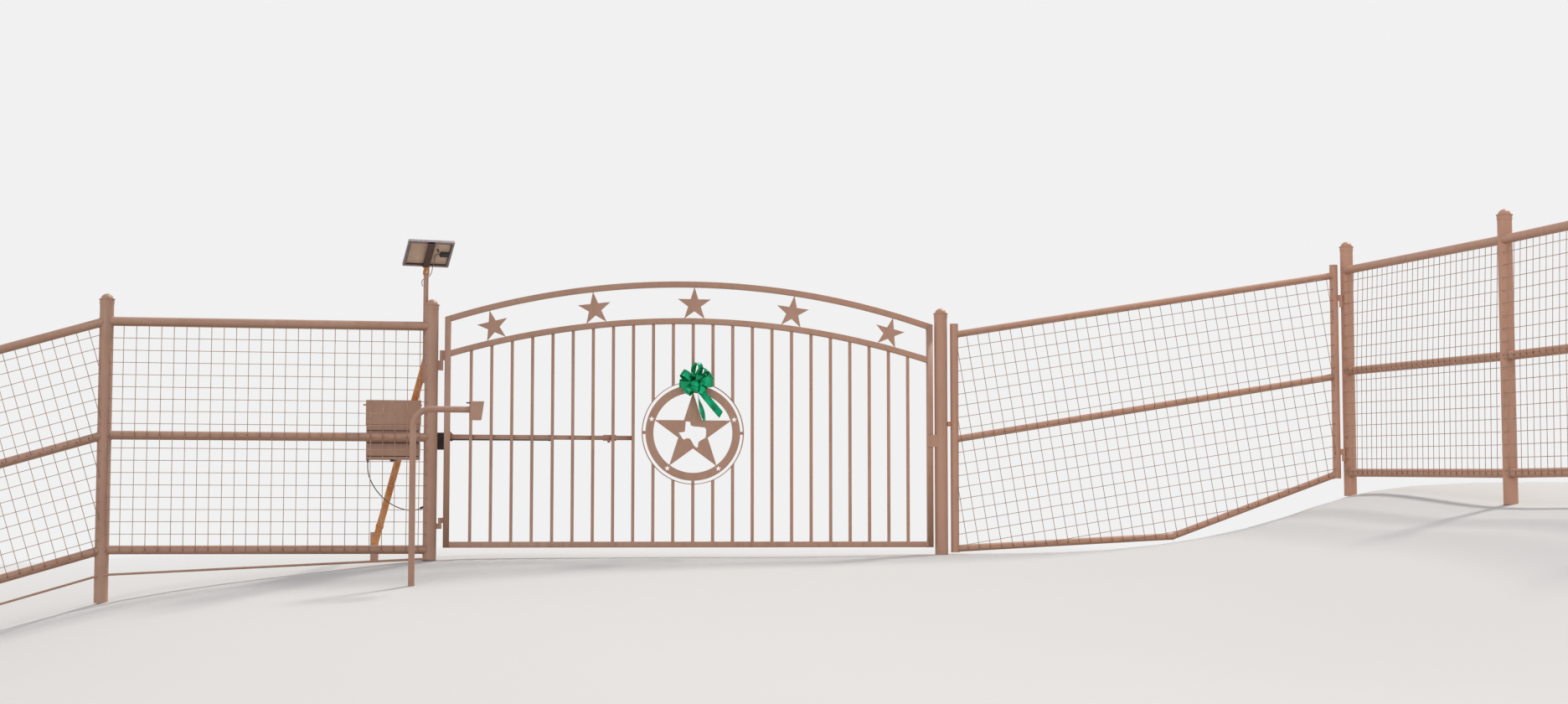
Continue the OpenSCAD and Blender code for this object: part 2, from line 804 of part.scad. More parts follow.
// Rear bracket: an arm from the post with two ears above and below the operator's eye
module operator_bracket() {
    ear_gap = 34;
    arm_w = 60;
    web_l = 70;
    web_lap = 20;
    color(paint) {
        difference() {
            union() {
                for (z = [-ear_gap / 2 - ear_t, ear_gap / 2])
                    translate([0, 0, gate_rail_z + z]) {
                        translate([rear_pivot[0], rear_pivot_y, 0]) cylinder(d = arm_w, h = ear_t);
                        translate([rear_pivot[0] - arm_w / 2, 0, 0]) cube([arm_w, rear_pivot_y, ear_t]);
                    }
                translate([rear_pivot[0] - arm_w / 2, post_r - web_lap, gate_rail_z - ear_gap / 2])
                    cube([arm_w, web_l, ear_gap]);
                translate([rear_pivot[0], rear_pivot_y, gate_rail_z - ear_gap / 2 - ear_t - pin_end])
                    cylinder(d = pivot_pin_d, h = ear_gap + 2 * (ear_t + pin_end));
            }
            cylinder(d = post_od, h = post_top);
        }
    }
}

// Places children in the operator's own frame, +X along its run
module operator_place() {
    translate(rear_pivot) rotate([0, 0, operator_angle]) children();
}

module operator_motor() {
    color(dark) operator_place() difference() {
        union() {
            translate([motor_start, -motor_w / 2, -motor_down]) cube([motor_l, motor_w, motor_h]);
            translate([0, 0, -motor_eye_h / 2]) cylinder(d = eye_d, h = motor_eye_h);
            translate([0, -motor_arm_w / 2, -motor_eye_h / 2])
                cube([motor_start + 1, motor_arm_w, motor_eye_h]);
        }
        translate([0, 0, -motor_eye_h]) cylinder(d = pivot_pin_d + 1, h = 2 * motor_eye_h);
    }
}

module operator_tube() {
    start = motor_start + motor_l;
    color(dark) operator_place() difference() {
        translate([start, 0, 0]) rotate([0, 90, 0])
            cylinder(d = operator_tube_od, h = operator_tube_l - start);
        translate([start + tube_floor, 0, 0]) rotate([0, 90, 0])
            cylinder(d = operator_rod_d + rod_play, h = operator_tube_l);
    }
}

rod_overlap = 260;
rod_into_eye = 7;
eye_h = 20;
rod_nut = [26, 9];

module operator_rod() {
    color(bright) operator_place() union() {
        translate([operator_tube_l - rod_overlap, 0, 0]) rotate([0, 90, 0])
            cylinder(
                d = operator_rod_d,
                h = operator_l - operator_tube_l + rod_overlap - eye_d / 2 + rod_into_eye
            );
        translate([operator_l, 0, -eye_h / 2]) cylinder(d = eye_d, h = eye_h);
        translate([operator_l, 0, eye_h / 2]) cylinder(d = rod_nut[0], h = rod_nut[1], $fn = 6);
    }
}

// Ear on the middle rail that the rod's eye sits over
module operator_ear() {
    ear_w = 46;
    gap = 6;
    ear_z = -eye_h / 2 - gap - ear_t;
    clip_t = 6;
    clip_w = 110;
    clip_open = 4;
    nut = [24, 14];
    y_back = picket_w / 2 + gate_rail_w;
    fx = front_pivot[0];
    color(paint) translate([0, 0, gate_rail_z]) union() {
        translate([fx, front_pivot_y, ear_z]) cylinder(d = ear_w, h = ear_t);
        translate([fx - ear_w / 2, y_back, ear_z]) cube([ear_w, front_pivot_y - y_back, ear_t]);
        translate([fx - clip_w / 2, y_back, -gate_rail_w / 2 - clip_t])
            cube([clip_w, clip_t, gate_rail_w + 2 * clip_t]);
        for (z = [-gate_rail_w / 2 - clip_t, gate_rail_w / 2])
            translate([fx - clip_w / 2, picket_w / 2 + clip_open, z])
                cube([clip_w, gate_rail_w, clip_t]);
        translate([fx, front_pivot_y, ear_z - nut[1]]) cylinder(d = nut[0], h = nut[1] + 1, $fn = 6);
    }
}

// Ribbon bow as a plain puffed disc, and its two tails as flat bars
bow_r = 152;
bow_t = 92;
bow_at = [leaf_mid_x + 20, -picket_w / 2 - 6, medal_z + ring_r + 16];
tail_t = 8;
tail_out = 3;
// Each tail's tip from the medallion's centre, along and up, and its width
bow_tails = [[98, 103, 34], [245, 155, 60]];

module bow_tail(along, up, w) {
    run = [leaf_mid_x + along - bow_at[0], medal_z + up - bow_at[2]];
    translate([bow_at[0], bow_at[1] - tail_t - tail_out, bow_at[2]])
        rotate([0, -atan2(run[1], run[0]), 0])
            translate([bow_r / 2, 0, -w / 2]) cube([norm(run) - bow_r / 2, tail_t, w]);
}

module ribbon_bow() {
    edge = bow_t / 3;
    color(green) union() {
        translate(bow_at) rotate([90, 0, 0]) rotate_extrude()
            polygon([
                [0, 0], [bow_r - edge, 0], [bow_r, edge],
                [bow_r, bow_t - edge], [bow_r - edge, bow_t], [0, bow_t]
            ]);
        for (tail = bow_tails) bow_tail(tail[0], tail[1], tail[2]);
    }
}

// Side gate leaf

side_hinge_top = side_latch_top + side_slope * side_run;
side_stile_foot = 12;
side_hinge_low = side_bottom_end_z - side_stile_foot;

module side_gate_stiles() {
    color(paint) {
        translate([side_latch_stile_x, 0, side_low_z])
            cylinder(d = side_stile_od, h = side_latch_top - side_low_z);
        translate([side_hinge_stile_x, 0, side_hinge_low])
            cylinder(d = side_stile_od, h = side_hinge_top - side_hinge_low);
    }
}

weld_swell = 3;

module side_gate_rails() {
    x0 = side_latch_stile_x;
    x1 = side_hinge_stile_x;
    bend = [x0 + side_bend_x, 0, side_bend_z];
    color(paint) difference() {
        union() {
            for (z = [side_top_z, side_mid_z])
                bar_between([x0, 0, z], [x1, 0, z + side_slope * side_run], side_rail_od);
            bar_between([x0, 0, side_bottom_z], bend, side_rail_od);
            translate(bend) sphere(d = side_rail_od + weld_swell);
            bar_between(bend, [x1, 0, side_bottom_end_z + side_rail_od / 2], side_rail_od);
        }
        for (x = [x0, x1])
            translate([x, 0, -post_top / 4]) cylinder(d = side_stile_od, h = 2 * post_top);
    }
}

side_wire_y = side_rail_od / 2 + wire_d / 2;
side_wire_edge = sqrt(pow(side_stile_od / 2, 2) - pow(side_wire_y - wire_d / 2, 2)) + wire_post_clear;

// Wires on the road side of the side gate, square to its sloped rails
module side_mesh(outline) {
    anchor = [side_latch_stile_x + side_phase[0], side_mid_z - side_phase[1] + side_slope * side_phase[0]];
    color(wire_paint) translate([0, -side_wire_y + wire_d / 2, 0]) rotate([90, 0, 0])
        linear_extrude(wire_d) lattice(outline, anchor, side_slope, side_w);
}

module side_mesh_upper() {
    x0 = side_latch_stile_x + side_wire_edge;
    x1 = side_hinge_stile_x - side_wire_edge;
    rise = side_slope * (x1 - x0);
    low = side_mid_z + mesh_part + side_slope * side_wire_edge;
    high = side_top_z - side_rail_od / 4 + side_slope * side_wire_edge;
    side_mesh([[x0, low], [x1, low + rise], [x1, high + rise], [x0, high]]);
}

module side_mesh_lower() {
    x0 = side_latch_stile_x + side_wire_edge;
    x1 = side_hinge_stile_x - side_wire_edge;
    rise = side_slope * (x1 - x0);
    high = side_mid_z - mesh_part + side_slope * side_wire_edge;
    under = side_rail_od / 4;
    bend_x = side_latch_stile_x + side_bend_x;
    low0 = side_bottom_z - under;
    low1 = side_bottom_end_z + under;
    anchor = [side_latch_stile_x + side_phase[0], side_mid_z - side_phase[1] + side_slope * side_phase[0]];
    color(wire_paint) translate([0, -side_wire_y + wire_d / 2, 0]) rotate([90, 0, 0])
        linear_extrude(wire_d) intersection() {
            lattice([[x0, low0], [x1, low0], [x1, high + rise], [x0, high]], anchor, side_slope, side_w);
            polygon([
                [x0, low0], [bend_x, side_bend_z - under], [x1, low1],
                [x1, high + rise], [x0, high]
            ]);
        }
}

// Padlock tabs across the latch gap, one on the post and one on the leaf
tab_z = 1188;
tab_h = 40;
tab_hole_d = 12;
tab_into_post = 14;
tab_past = 8;
tab_part = [1, 4];
latch_gap = side_latch_x - gate_span - post_r;
tab_x = gate_span + post_r + latch_gap / 2;

module side_latch_tab() {
    color(rust) difference() {
        translate([gate_span + post_r - tab_into_post, tab_part[0], tab_z - tab_h / 2])
            cube([latch_gap / 2 + tab_into_post + tab_past, plate_t, tab_h]);
        translate([tab_x, -tab_h, tab_z]) rotate([-90, 0, 0]) cylinder(d = tab_hole_d, h = 2 * tab_h);
        translate([gate_span, 0, 0]) cylinder(d = post_od, h = post_top);
    }
}

module side_gate_tab() {
    color(rust) difference() {
        translate([tab_x - tab_past, -tab_part[1] - plate_t, tab_z - tab_h / 2])
            cube([latch_gap / 2 + tab_into_post + tab_past, plate_t, tab_h]);
        translate([tab_x, -tab_h, tab_z]) rotate([-90, 0, 0]) cylinder(d = tab_hole_d, h = 2 * tab_h);
        translate([side_latch_stile_x, 0, 0]) cylinder(d = side_stile_od, h = post_top);
    }
}

// Keypad stand

keypad_x = -184;
keypad_y = -1100;
keypad_foot_z = -197;
keypad_box_x = 266;
keypad_top_d = 112;
keypad_low_d = 91;
keypad_wall = 3;
keypad_face_d = 60;
keypad_low = 83;
plate_clear = 1;
face_t = 4;
key_size = 14;
key_gap = 24;
key_out = 4;

module keypad_pole() {
    bend_x = keypad_x + keypad_bend_r;
    color(paint) translate([0, keypad_y, 0]) union() {
        translate([keypad_x, 0, keypad_foot_z])
            cylinder(d = keypad_pole_od, h = keypad_arm_z - keypad_bend_r - keypad_foot_z);
        translate([bend_x, 0, keypad_arm_z - keypad_bend_r]) rotate([90, 0, 0])
            intersection() {
                rotate_extrude($fn = 64) translate([keypad_bend_r, 0]) circle(d = keypad_pole_od);
                translate([-2 * keypad_bend_r, 0, -keypad_pole_od])
                    cube([2 * keypad_bend_r, 2 * keypad_bend_r, 2 * keypad_pole_od]);
            }
        translate([bend_x, 0, keypad_arm_z]) rotate([0, 90, 0])
            cylinder(d = keypad_pole_od, h = keypad_box_x - bend_x);
    }
}

keypad_low_z = keypad_arm_z - keypad_low;

// Housing with a visor that overhangs the keypad
module keypad_housing() {
    side = [
        [keypad_box_x, keypad_low_z], [keypad_box_x + keypad_low_d, keypad_low_z],
        [keypad_box_x + keypad_top_d, keypad_low_z + keypad_box_h],
        [keypad_box_x, keypad_low_z + keypad_box_h]
    ];
    color(paint) translate([0, keypad_y + keypad_box_y / 2, 0]) difference() {
        rotate([90, 0, 0]) linear_extrude(keypad_box_y) polygon(side);
        translate([keypad_box_x + keypad_face_d, -keypad_box_y + keypad_wall, keypad_low_z + keypad_wall])
            cube([keypad_top_d, keypad_box_y - 2 * keypad_wall, keypad_box_h - 2 * keypad_wall]);
    }
}

// Face plate with its twelve keys
module keypad_panel() {
    face_x = keypad_box_x + keypad_face_d;
    inset = keypad_wall + plate_clear;
    mid_z = keypad_low_z + keypad_box_h / 2;
    color(bright) union() {
        translate([face_x, keypad_y - keypad_box_y / 2 + inset, keypad_low_z + inset])
            cube([face_t, keypad_box_y - 2 * inset, keypad_box_h - 2 * inset]);
        for (i = [-1 : 1], j = [-1.5 : 1 : 1.5])
            translate([face_x + face_t - 1, keypad_y + i * key_gap, mid_z + j * key_gap])
                translate([0, -key_size / 2, -key_size / 2]) cube([key_out + 1, key_size, key_size]);
    }
}

// Control box behind the left fence bay

box_right_x = -85;
box_y = 40;
box_low_z = 849;
box_x = box_right_x - box_w;
hood_lap = 3;
lid_gap = 1;
hood_pin_d = 12;
hood_pin_down = 35;
hood_pin_l = [24, 10];
latch_size = [50, 30, 20];
latch_in = 20;
spacer_w = 40;
spacer_in = 90;

module control_box() {
    color(paint) difference() {
        translate([box_x, box_y, box_low_z]) cube([box_w, box_d, box_h - box_wall - lid_gap]);
        translate([box_x + box_wall, box_y + box_wall, box_low_z + box_wall])
            cube([box_w - 2 * box_wall, box_d - 2 * box_wall, box_h - 3 * box_wall - lid_gap]);
    }
}

// Hood that sits over the top of the box, with a pin at each side
module control_box_hood() {
    w = box_w + 2 * hood_lap + 2 * box_wall;
    d = box_d + 2 * hood_lap + 2 * box_wall;
    pin_z = box_low_z + box_h - hood_pin_down;
    color(paint) union() {
        difference() {
            translate([box_x - hood_lap - box_wall, box_y - hood_lap - box_wall, box_low_z + box_h - hood_h])
                cube([w, d, hood_h + box_wall]);
            translate([box_x - hood_lap, box_y - hood_lap, box_low_z + box_h - hood_h - 1])
                cube([w - 2 * box_wall, d - 2 * box_wall, hood_h + 1]);
        }
        for (s = [0, 1])
            translate([box_x - hood_lap - box_wall + (s == 0 ? -hood_pin_l[0] : w), box_y + box_d / 2, pin_z])
                rotate([0, 90, 0]) cylinder(d = hood_pin_d, h = hood_pin_l[s]);
    }
}

module control_box_latch() {
    color(dark) translate([box_x + (box_w - latch_size[0]) / 2, box_y + latch_in, box_low_z - latch_size[2]])
        cube(latch_size);
}

// Two spacers that hold the box to the middle rail
module control_box_brackets() {
    color(paint) difference() {
        for (x = [box_x + spacer_in, box_x + box_w - spacer_in - spacer_w])
            translate([x, 0, mid_rail_z - spacer_w / 2]) cube([spacer_w, box_y, spacer_w]);
        bar_between([-left_span, -rail_offset, mid_rail_z], [0, -rail_offset, mid_rail_z], rail_od);
    }
}

// Control cable: out of the box's bottom, slack, and into the hinge post
cable_d = 9;
gland_d = 20;
gland_run = 40;
cable_route = [
    [-520, 130, 827], [-520, 130, 800], [-519, 130, 770], [-514, 130, 735], [-504, 130, 700],
    [-490, 129, 665], [-471, 128, 630], [-450, 126, 597], [-425, 123, 565], [-397, 119, 535],
    [-365, 113, 506], [-330, 105, 480], [-290, 95, 457], [-248, 82, 439], [-205, 66, 427],
    [-163, 48, 421], [-123, 30, 423], [-96, 18, 429], [-78, 10, 437]
];

function unit(v) = v / norm(v);
function side_of(t) = unit(cross(t, abs(t[2]) > 0.9 ? [0, 1, 0] : [0, 0, 1]));
function tangent(pts, i) =
    i == 0 ? unit(pts[1] - pts[0])
    : i == len(pts) - 1 ? unit(pts[i] - pts[i - 1])
    : unit(pts[i + 1] - pts[i - 1]);

// One closed tube swept along a route, its rings kept upright to the route
module swept_tube(pts, d, sides) {
    n = len(pts);
    frames = carried_frames(pts);
    rings = [for (i = [0 : n - 1])
        let (u = frames[i], t = tangent(pts, i), v = cross(t, u))
        for (k = [0 : sides - 1])
            pts[i] + d / 2 * (cos(k * 360 / sides) * u + sin(k * 360 / sides) * v)];
    walls = [for (i = [0 : n - 2], k = [0 : sides - 1])
        let (a = i * sides + k, b = i * sides + (k + 1) % sides)
        [a, b, b + sides, a + sides]];
    ends = [
        [for (k = [0 : sides - 1]) sides - 1 - k],
        [for (k = [0 : sides - 1]) (n - 1) * sides + k]
    ];
    polyhedron(points = rings, faces = concat(walls, ends), convexity = 6);
}

// Carries one side direction along the route without twist
function carried_frames(pts, i = 0, made = []) =
    i == len(pts) ? made
    : let (
        t = tangent(pts, i),
        last = i == 0 ? side_of(t) : made[i - 1],
        u = unit(last - (last * t) * t)
    )
    carried_frames(pts, i + 1, concat(made, [u]));

// Lead from the panel's junction box, past the bracket and round the pole into its left side
lead_d = 6;
lead_route = [
    [63, -23, 2593], [52, -27, 2593], [40, -34, 2593], [29, -37, 2590], [21, -33, 2583], [17, -22, 2572],
    [18, -5, 2557], [18, 12, 2542], [15, 27, 2527], [9, 39, 2512], [4, 46, 2497], [1, 50, 2480],
    [-1, 55, 2462], [-6, 63, 2445], [-13, 74, 2430], [-24, 85, 2417], [-40, 91, 2407], [-56, 91, 2398],
    [-70, 84, 2390], [-80, 73, 2380], [-84.5, 62, 2368], [-85.5, 57, 2355], [-84, 55, 2343],
    [-80.5, 55.5, 2333], [-75, 56.5, 2327]
];

// Control cable from the box to the hinge post, and the panel's lead
module cables() {
    color(cable_grey) {
        swept_tube(cable_route, cable_d, 10);
        swept_tube(lead_route, lead_d, 10);
    }
}

// Glands where the cable leaves the box and enters the hinge post
module cable_glands() {
    last = len(cable_route) - 1;
    into = unit(cable_route[last] - cable_route[last - 1]);
    color(dark) {
        translate(cable_route[0]) cylinder(d = gland_d, h = box_low_z - cable_route[0][2]);
        difference() {
            bar_between(cable_route[last], cable_route[last] + gland_run * into, gland_d);
            cylinder(d = post_od, h = post_top);
        }
    }
}

// Brace from the back of the hinge post to a short post in the ground

brace_od = 60.3;
brace_post_at = [-437, 1200];
brace_post_low = -16;
brace_post_top = 237;
brace_foot_z = 120;
brace_foot = [brace_post_at[0], brace_post_at[1], brace_foot_z];
brace_head = [17, 35, 1937];

module brace_pipe() {
    color(rust) difference() {
        bar_between(brace_foot, brace_head, brace_od);
        cylinder(d = post_od, h = post_top);
        translate([brace_post_at[0], brace_post_at[1], brace_post_low])
            cylinder(d = rail_od, h = 2 * (brace_post_top - brace_post_low));
    }
}

module brace_post() {
    color(paint) translate([brace_post_at[0], brace_post_at[1], brace_post_low])
        cylinder(d = rail_od, h = brace_post_top - brace_post_low);
}

// Band clamped around the brace near its foot
band_up = 190;
band_h = 28;
band_t = 4;

module brace_band() {
    dir = unit(brace_head - brace_foot);
    low = brace_foot + band_up * dir;
    color(rust) difference() {
        bar_between(low, low + band_h * dir, brace_od + 2 * band_t);
        bar_between(low - band_h * dir, low + 2 * band_h * dir, brace_od + 2 * touch);
    }
}

// Solar panel on its pole behind the hinge post

solar_turn = 130;
solar_at = (post_r + solar_pole_od / 2 + touch) * [cos(solar_turn), sin(solar_turn)];
panel_off = [15, -100, 118];
panel_centre = [solar_at[0], solar_at[1], solar_pole_top] + panel_off;
channel_w = 54;
channel_t = 22;
channel_end = 8;
channel_wall = 3;
cheek_w = 46;
cheek_down = 53;

module solar_pole() {
    color(paint) translate([solar_at[0], solar_at[1], solar_pole_low])
        cylinder(d = solar_pole_od, h = solar_pole_top - solar_pole_low);
}

// Places children in the panel's own frame, its back facing down
module panel_place() {
    translate(panel_centre) rotate([0, 0, panel_turn]) rotate([-panel_tilt, 0, 0]) children();
}

// Channel across the panel's back, welded at its low end to the sleeve that bolts on the pole
module solar_bracket() {
    color(rust) difference() {
        union() {
            panel_place()
                translate([-channel_w / 2, -panel_l / 2 + channel_end, -panel_t / 2 - channel_t])
                    cube([channel_w, panel_l - 2 * channel_end, channel_t]);
            translate([solar_at[0], solar_at[1], solar_pole_top - cheek_down]) rotate([0, 0, panel_turn])
                translate([-cheek_w / 2, -cheek_w / 2, 0]) cube([cheek_w, cheek_w, 2 * cheek_down]);
        }
        translate([solar_at[0], solar_at[1], solar_pole_low])
            cylinder(d = solar_pole_od, h = solar_pole_top - solar_pole_low);
        panel_place() translate([-panel_w, -panel_l, -panel_t / 2 - touch])
            cube([2 * panel_w, 2 * panel_l, 4 * panel_l]);
        panel_place()
            translate([-channel_w / 2 + channel_wall, -panel_l, -panel_t / 2 - channel_t + channel_wall])
                cube([channel_w - 2 * channel_wall, 2 * panel_l, channel_t]);
    }
}

frame_w = 18;
frame_lip = 2;
sheet_t = 6;
sheet_z = panel_t / 2 - sheet_t - frame_lip;

module solar_frame() {
    color(bright) panel_place() difference() {
        translate([-panel_w / 2, -panel_l / 2, -panel_t / 2]) cube([panel_w, panel_l, panel_t]);
        translate([-panel_w / 2 + frame_w, -panel_l / 2 + frame_w, -panel_t])
            cube([panel_w - 2 * frame_w, panel_l - 2 * frame_w, 2 * panel_t]);
    }
}

module solar_sheet() {
    color(sheet_white) panel_place()
        translate([-panel_w / 2 + frame_w, -panel_l / 2 + frame_w, sheet_z])
            cube([panel_w - 2 * frame_w, panel_l - 2 * frame_w, sheet_t]);
}

junction_size = [78, 48, 22];
junction_at = [panel_w / 2 - frame_w - frame_lip, 2];

module solar_junction_box() {
    color(dark) panel_place()
        translate([junction_at[0] - junction_size[0], junction_at[1] - junction_size[1] / 2,
            sheet_z - junction_size[2]])
            cube(junction_size);
}

hinge_post();
latch_post();
corner_post();
line_posts();
post_caps();
outer_left_rails();
left_rails();
wing_rails();
ground_rods();
outer_left_mesh_upper();
outer_left_mesh_lower();
left_mesh_upper();
left_mesh_lower();
wing_mesh_upper();
wing_mesh_lower();
wing_end_mesh_upper();
wing_end_mesh_lower();
gate_hinge_pins();
side_hinge_pins();
gate_stop();
side_latch_tab();
operator_bracket();
keypad_pole();
keypad_housing();
keypad_panel();
control_box();
control_box_hood();
control_box_latch();
control_box_brackets();
cables();
cable_glands();
brace_pipe();
brace_post();
brace_band();
solar_pole();
solar_bracket();
solar_frame();
solar_sheet();
solar_junction_box();
gate_stiles();
gate_bottom_rail();
gate_upper_arch();
gate_lower_arch();
gate_pickets();
arch_stars();
medallion_ring();
medallion_star();
gate_middle_rail();
gate_hinge_barrels();
operator_ear();
ribbon_bow();
side_gate_stiles();
side_gate_rails();
side_mesh_upper();
side_mesh_lower();
side_hinge_barrels();
side_gate_tab();
operator_motor();
operator_tube();
operator_rod();
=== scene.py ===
"""Looks of the ranch entrance gate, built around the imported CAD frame."""

import json
import math
import random

import bmesh
import bpy
import numpy
from mathutils import Matrix, Vector


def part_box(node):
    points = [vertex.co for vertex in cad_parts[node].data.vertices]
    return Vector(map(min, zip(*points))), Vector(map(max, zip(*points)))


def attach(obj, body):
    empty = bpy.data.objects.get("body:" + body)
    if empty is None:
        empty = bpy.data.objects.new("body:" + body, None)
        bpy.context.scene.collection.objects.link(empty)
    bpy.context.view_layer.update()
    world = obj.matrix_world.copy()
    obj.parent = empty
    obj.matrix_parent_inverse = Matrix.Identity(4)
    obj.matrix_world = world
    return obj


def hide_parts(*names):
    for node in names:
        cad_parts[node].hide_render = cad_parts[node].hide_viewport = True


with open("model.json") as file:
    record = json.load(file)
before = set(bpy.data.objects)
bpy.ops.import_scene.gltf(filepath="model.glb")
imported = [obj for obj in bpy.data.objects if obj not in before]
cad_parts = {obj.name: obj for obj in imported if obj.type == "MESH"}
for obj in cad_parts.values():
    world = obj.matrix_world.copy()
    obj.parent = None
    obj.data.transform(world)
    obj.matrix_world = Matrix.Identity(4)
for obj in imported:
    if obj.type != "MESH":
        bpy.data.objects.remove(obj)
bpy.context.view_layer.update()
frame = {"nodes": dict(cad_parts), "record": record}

# Sizes in metres, the same as in the part
POST_R = 0.05715
RAIL_R = 0.0365
RAIL_Y = -0.016
CORNER_X = 8.292
LEFT_SPAN = 2.670
WING_SPAN = 3.013
LEFT_FALL = 0.297
OUTER_DROP = LEFT_FALL * LEFT_SPAN
RAIL_Z = [0.090, 1.035, 1.980]
WING_RAIL_GAP = 0.924
WING_LIFT = 0.645
WING_FALL = 0.0265
WING_END_FALL = 0.0165
WIRE_R = 0.00285
MESH_PITCH = 0.1012
MESH_HOOK = 0.030
WIRE_Y = RAIL_Y - RAIL_R - WIRE_R
WIRE_EDGE = 0.0256
FRAME_TUBE = 0.0508
PICKET_W = 0.0254
GATE_RAIL_W = 0.0381
GATE_RAIL_Z = 1.045
RING_R = 0.447
UPPER_ARCH_R = 6.804
LOWER_ARCH_R = 7.240
SIDE_STILE_R = 0.0365
SIDE_RAIL_R = 0.03015
SIDE_SLOPE = 0.167

gate_low, gate_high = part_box("gate_stiles")
LEAF_X = gate_low.x
LEAF_W = gate_high.x - gate_low.x
LEAF_MID_X = LEAF_X + LEAF_W / 2
LEAF_Z = gate_low.z
arch_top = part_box("gate_upper_arch")[1].z
lower_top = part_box("gate_lower_arch")[1].z
UPPER_ARCH_Z = arch_top - UPPER_ARCH_R
LOWER_ARCH_Z = lower_top - LOWER_ARCH_R
medal_low, medal_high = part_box("medallion_ring")
MEDAL_Z = (medal_low.z + medal_high.z) / 2
PICKETS = 23
INNER_X = LEAF_X + FRAME_TUBE
INNER_END_X = LEAF_X + LEAF_W - FRAME_TUBE
PICKET_PITCH = (LEAF_W - 2 * FRAME_TUBE) / (PICKETS + 1)


# Camera

PHOTO_W = 1872
FOCAL_PX = 2854.2
SENSOR_MM = 36.0
CLIP_END = 500
CAMERA_AT = (-0.809, -20.452, 0.2245)
CAMERA_PITCH = math.radians(4.341)
CAMERA_YAW = math.radians(10.676)


def add_object(name, data):
    made = bpy.data.objects.new(name, data)
    bpy.context.scene.collection.objects.link(made)
    return made


def make_camera():
    data = bpy.data.cameras.new("camera")
    data.sensor_fit = "HORIZONTAL"
    data.sensor_width = SENSOR_MM
    data.lens = SENSOR_MM * FOCAL_PX / PHOTO_W
    data.clip_end = CLIP_END
    camera = add_object("camera", data)
    camera.location = CAMERA_AT
    camera.rotation_euler = (math.pi / 2 + CAMERA_PITCH, 0, -CAMERA_YAW)
    bpy.context.scene.camera = camera


make_camera()


# Mesh building

WASHER_T = 0.0018
TENON_KEEP = 0.97
CORNERS = ((-1, -1), (1, -1), (1, 1), (-1, 1))


def circle(radius, sides):
    """Points around a circle."""
    return [(radius * math.cos(2 * math.pi * k / sides), radius * math.sin(2 * math.pi * k / sides))
            for k in range(sides)]


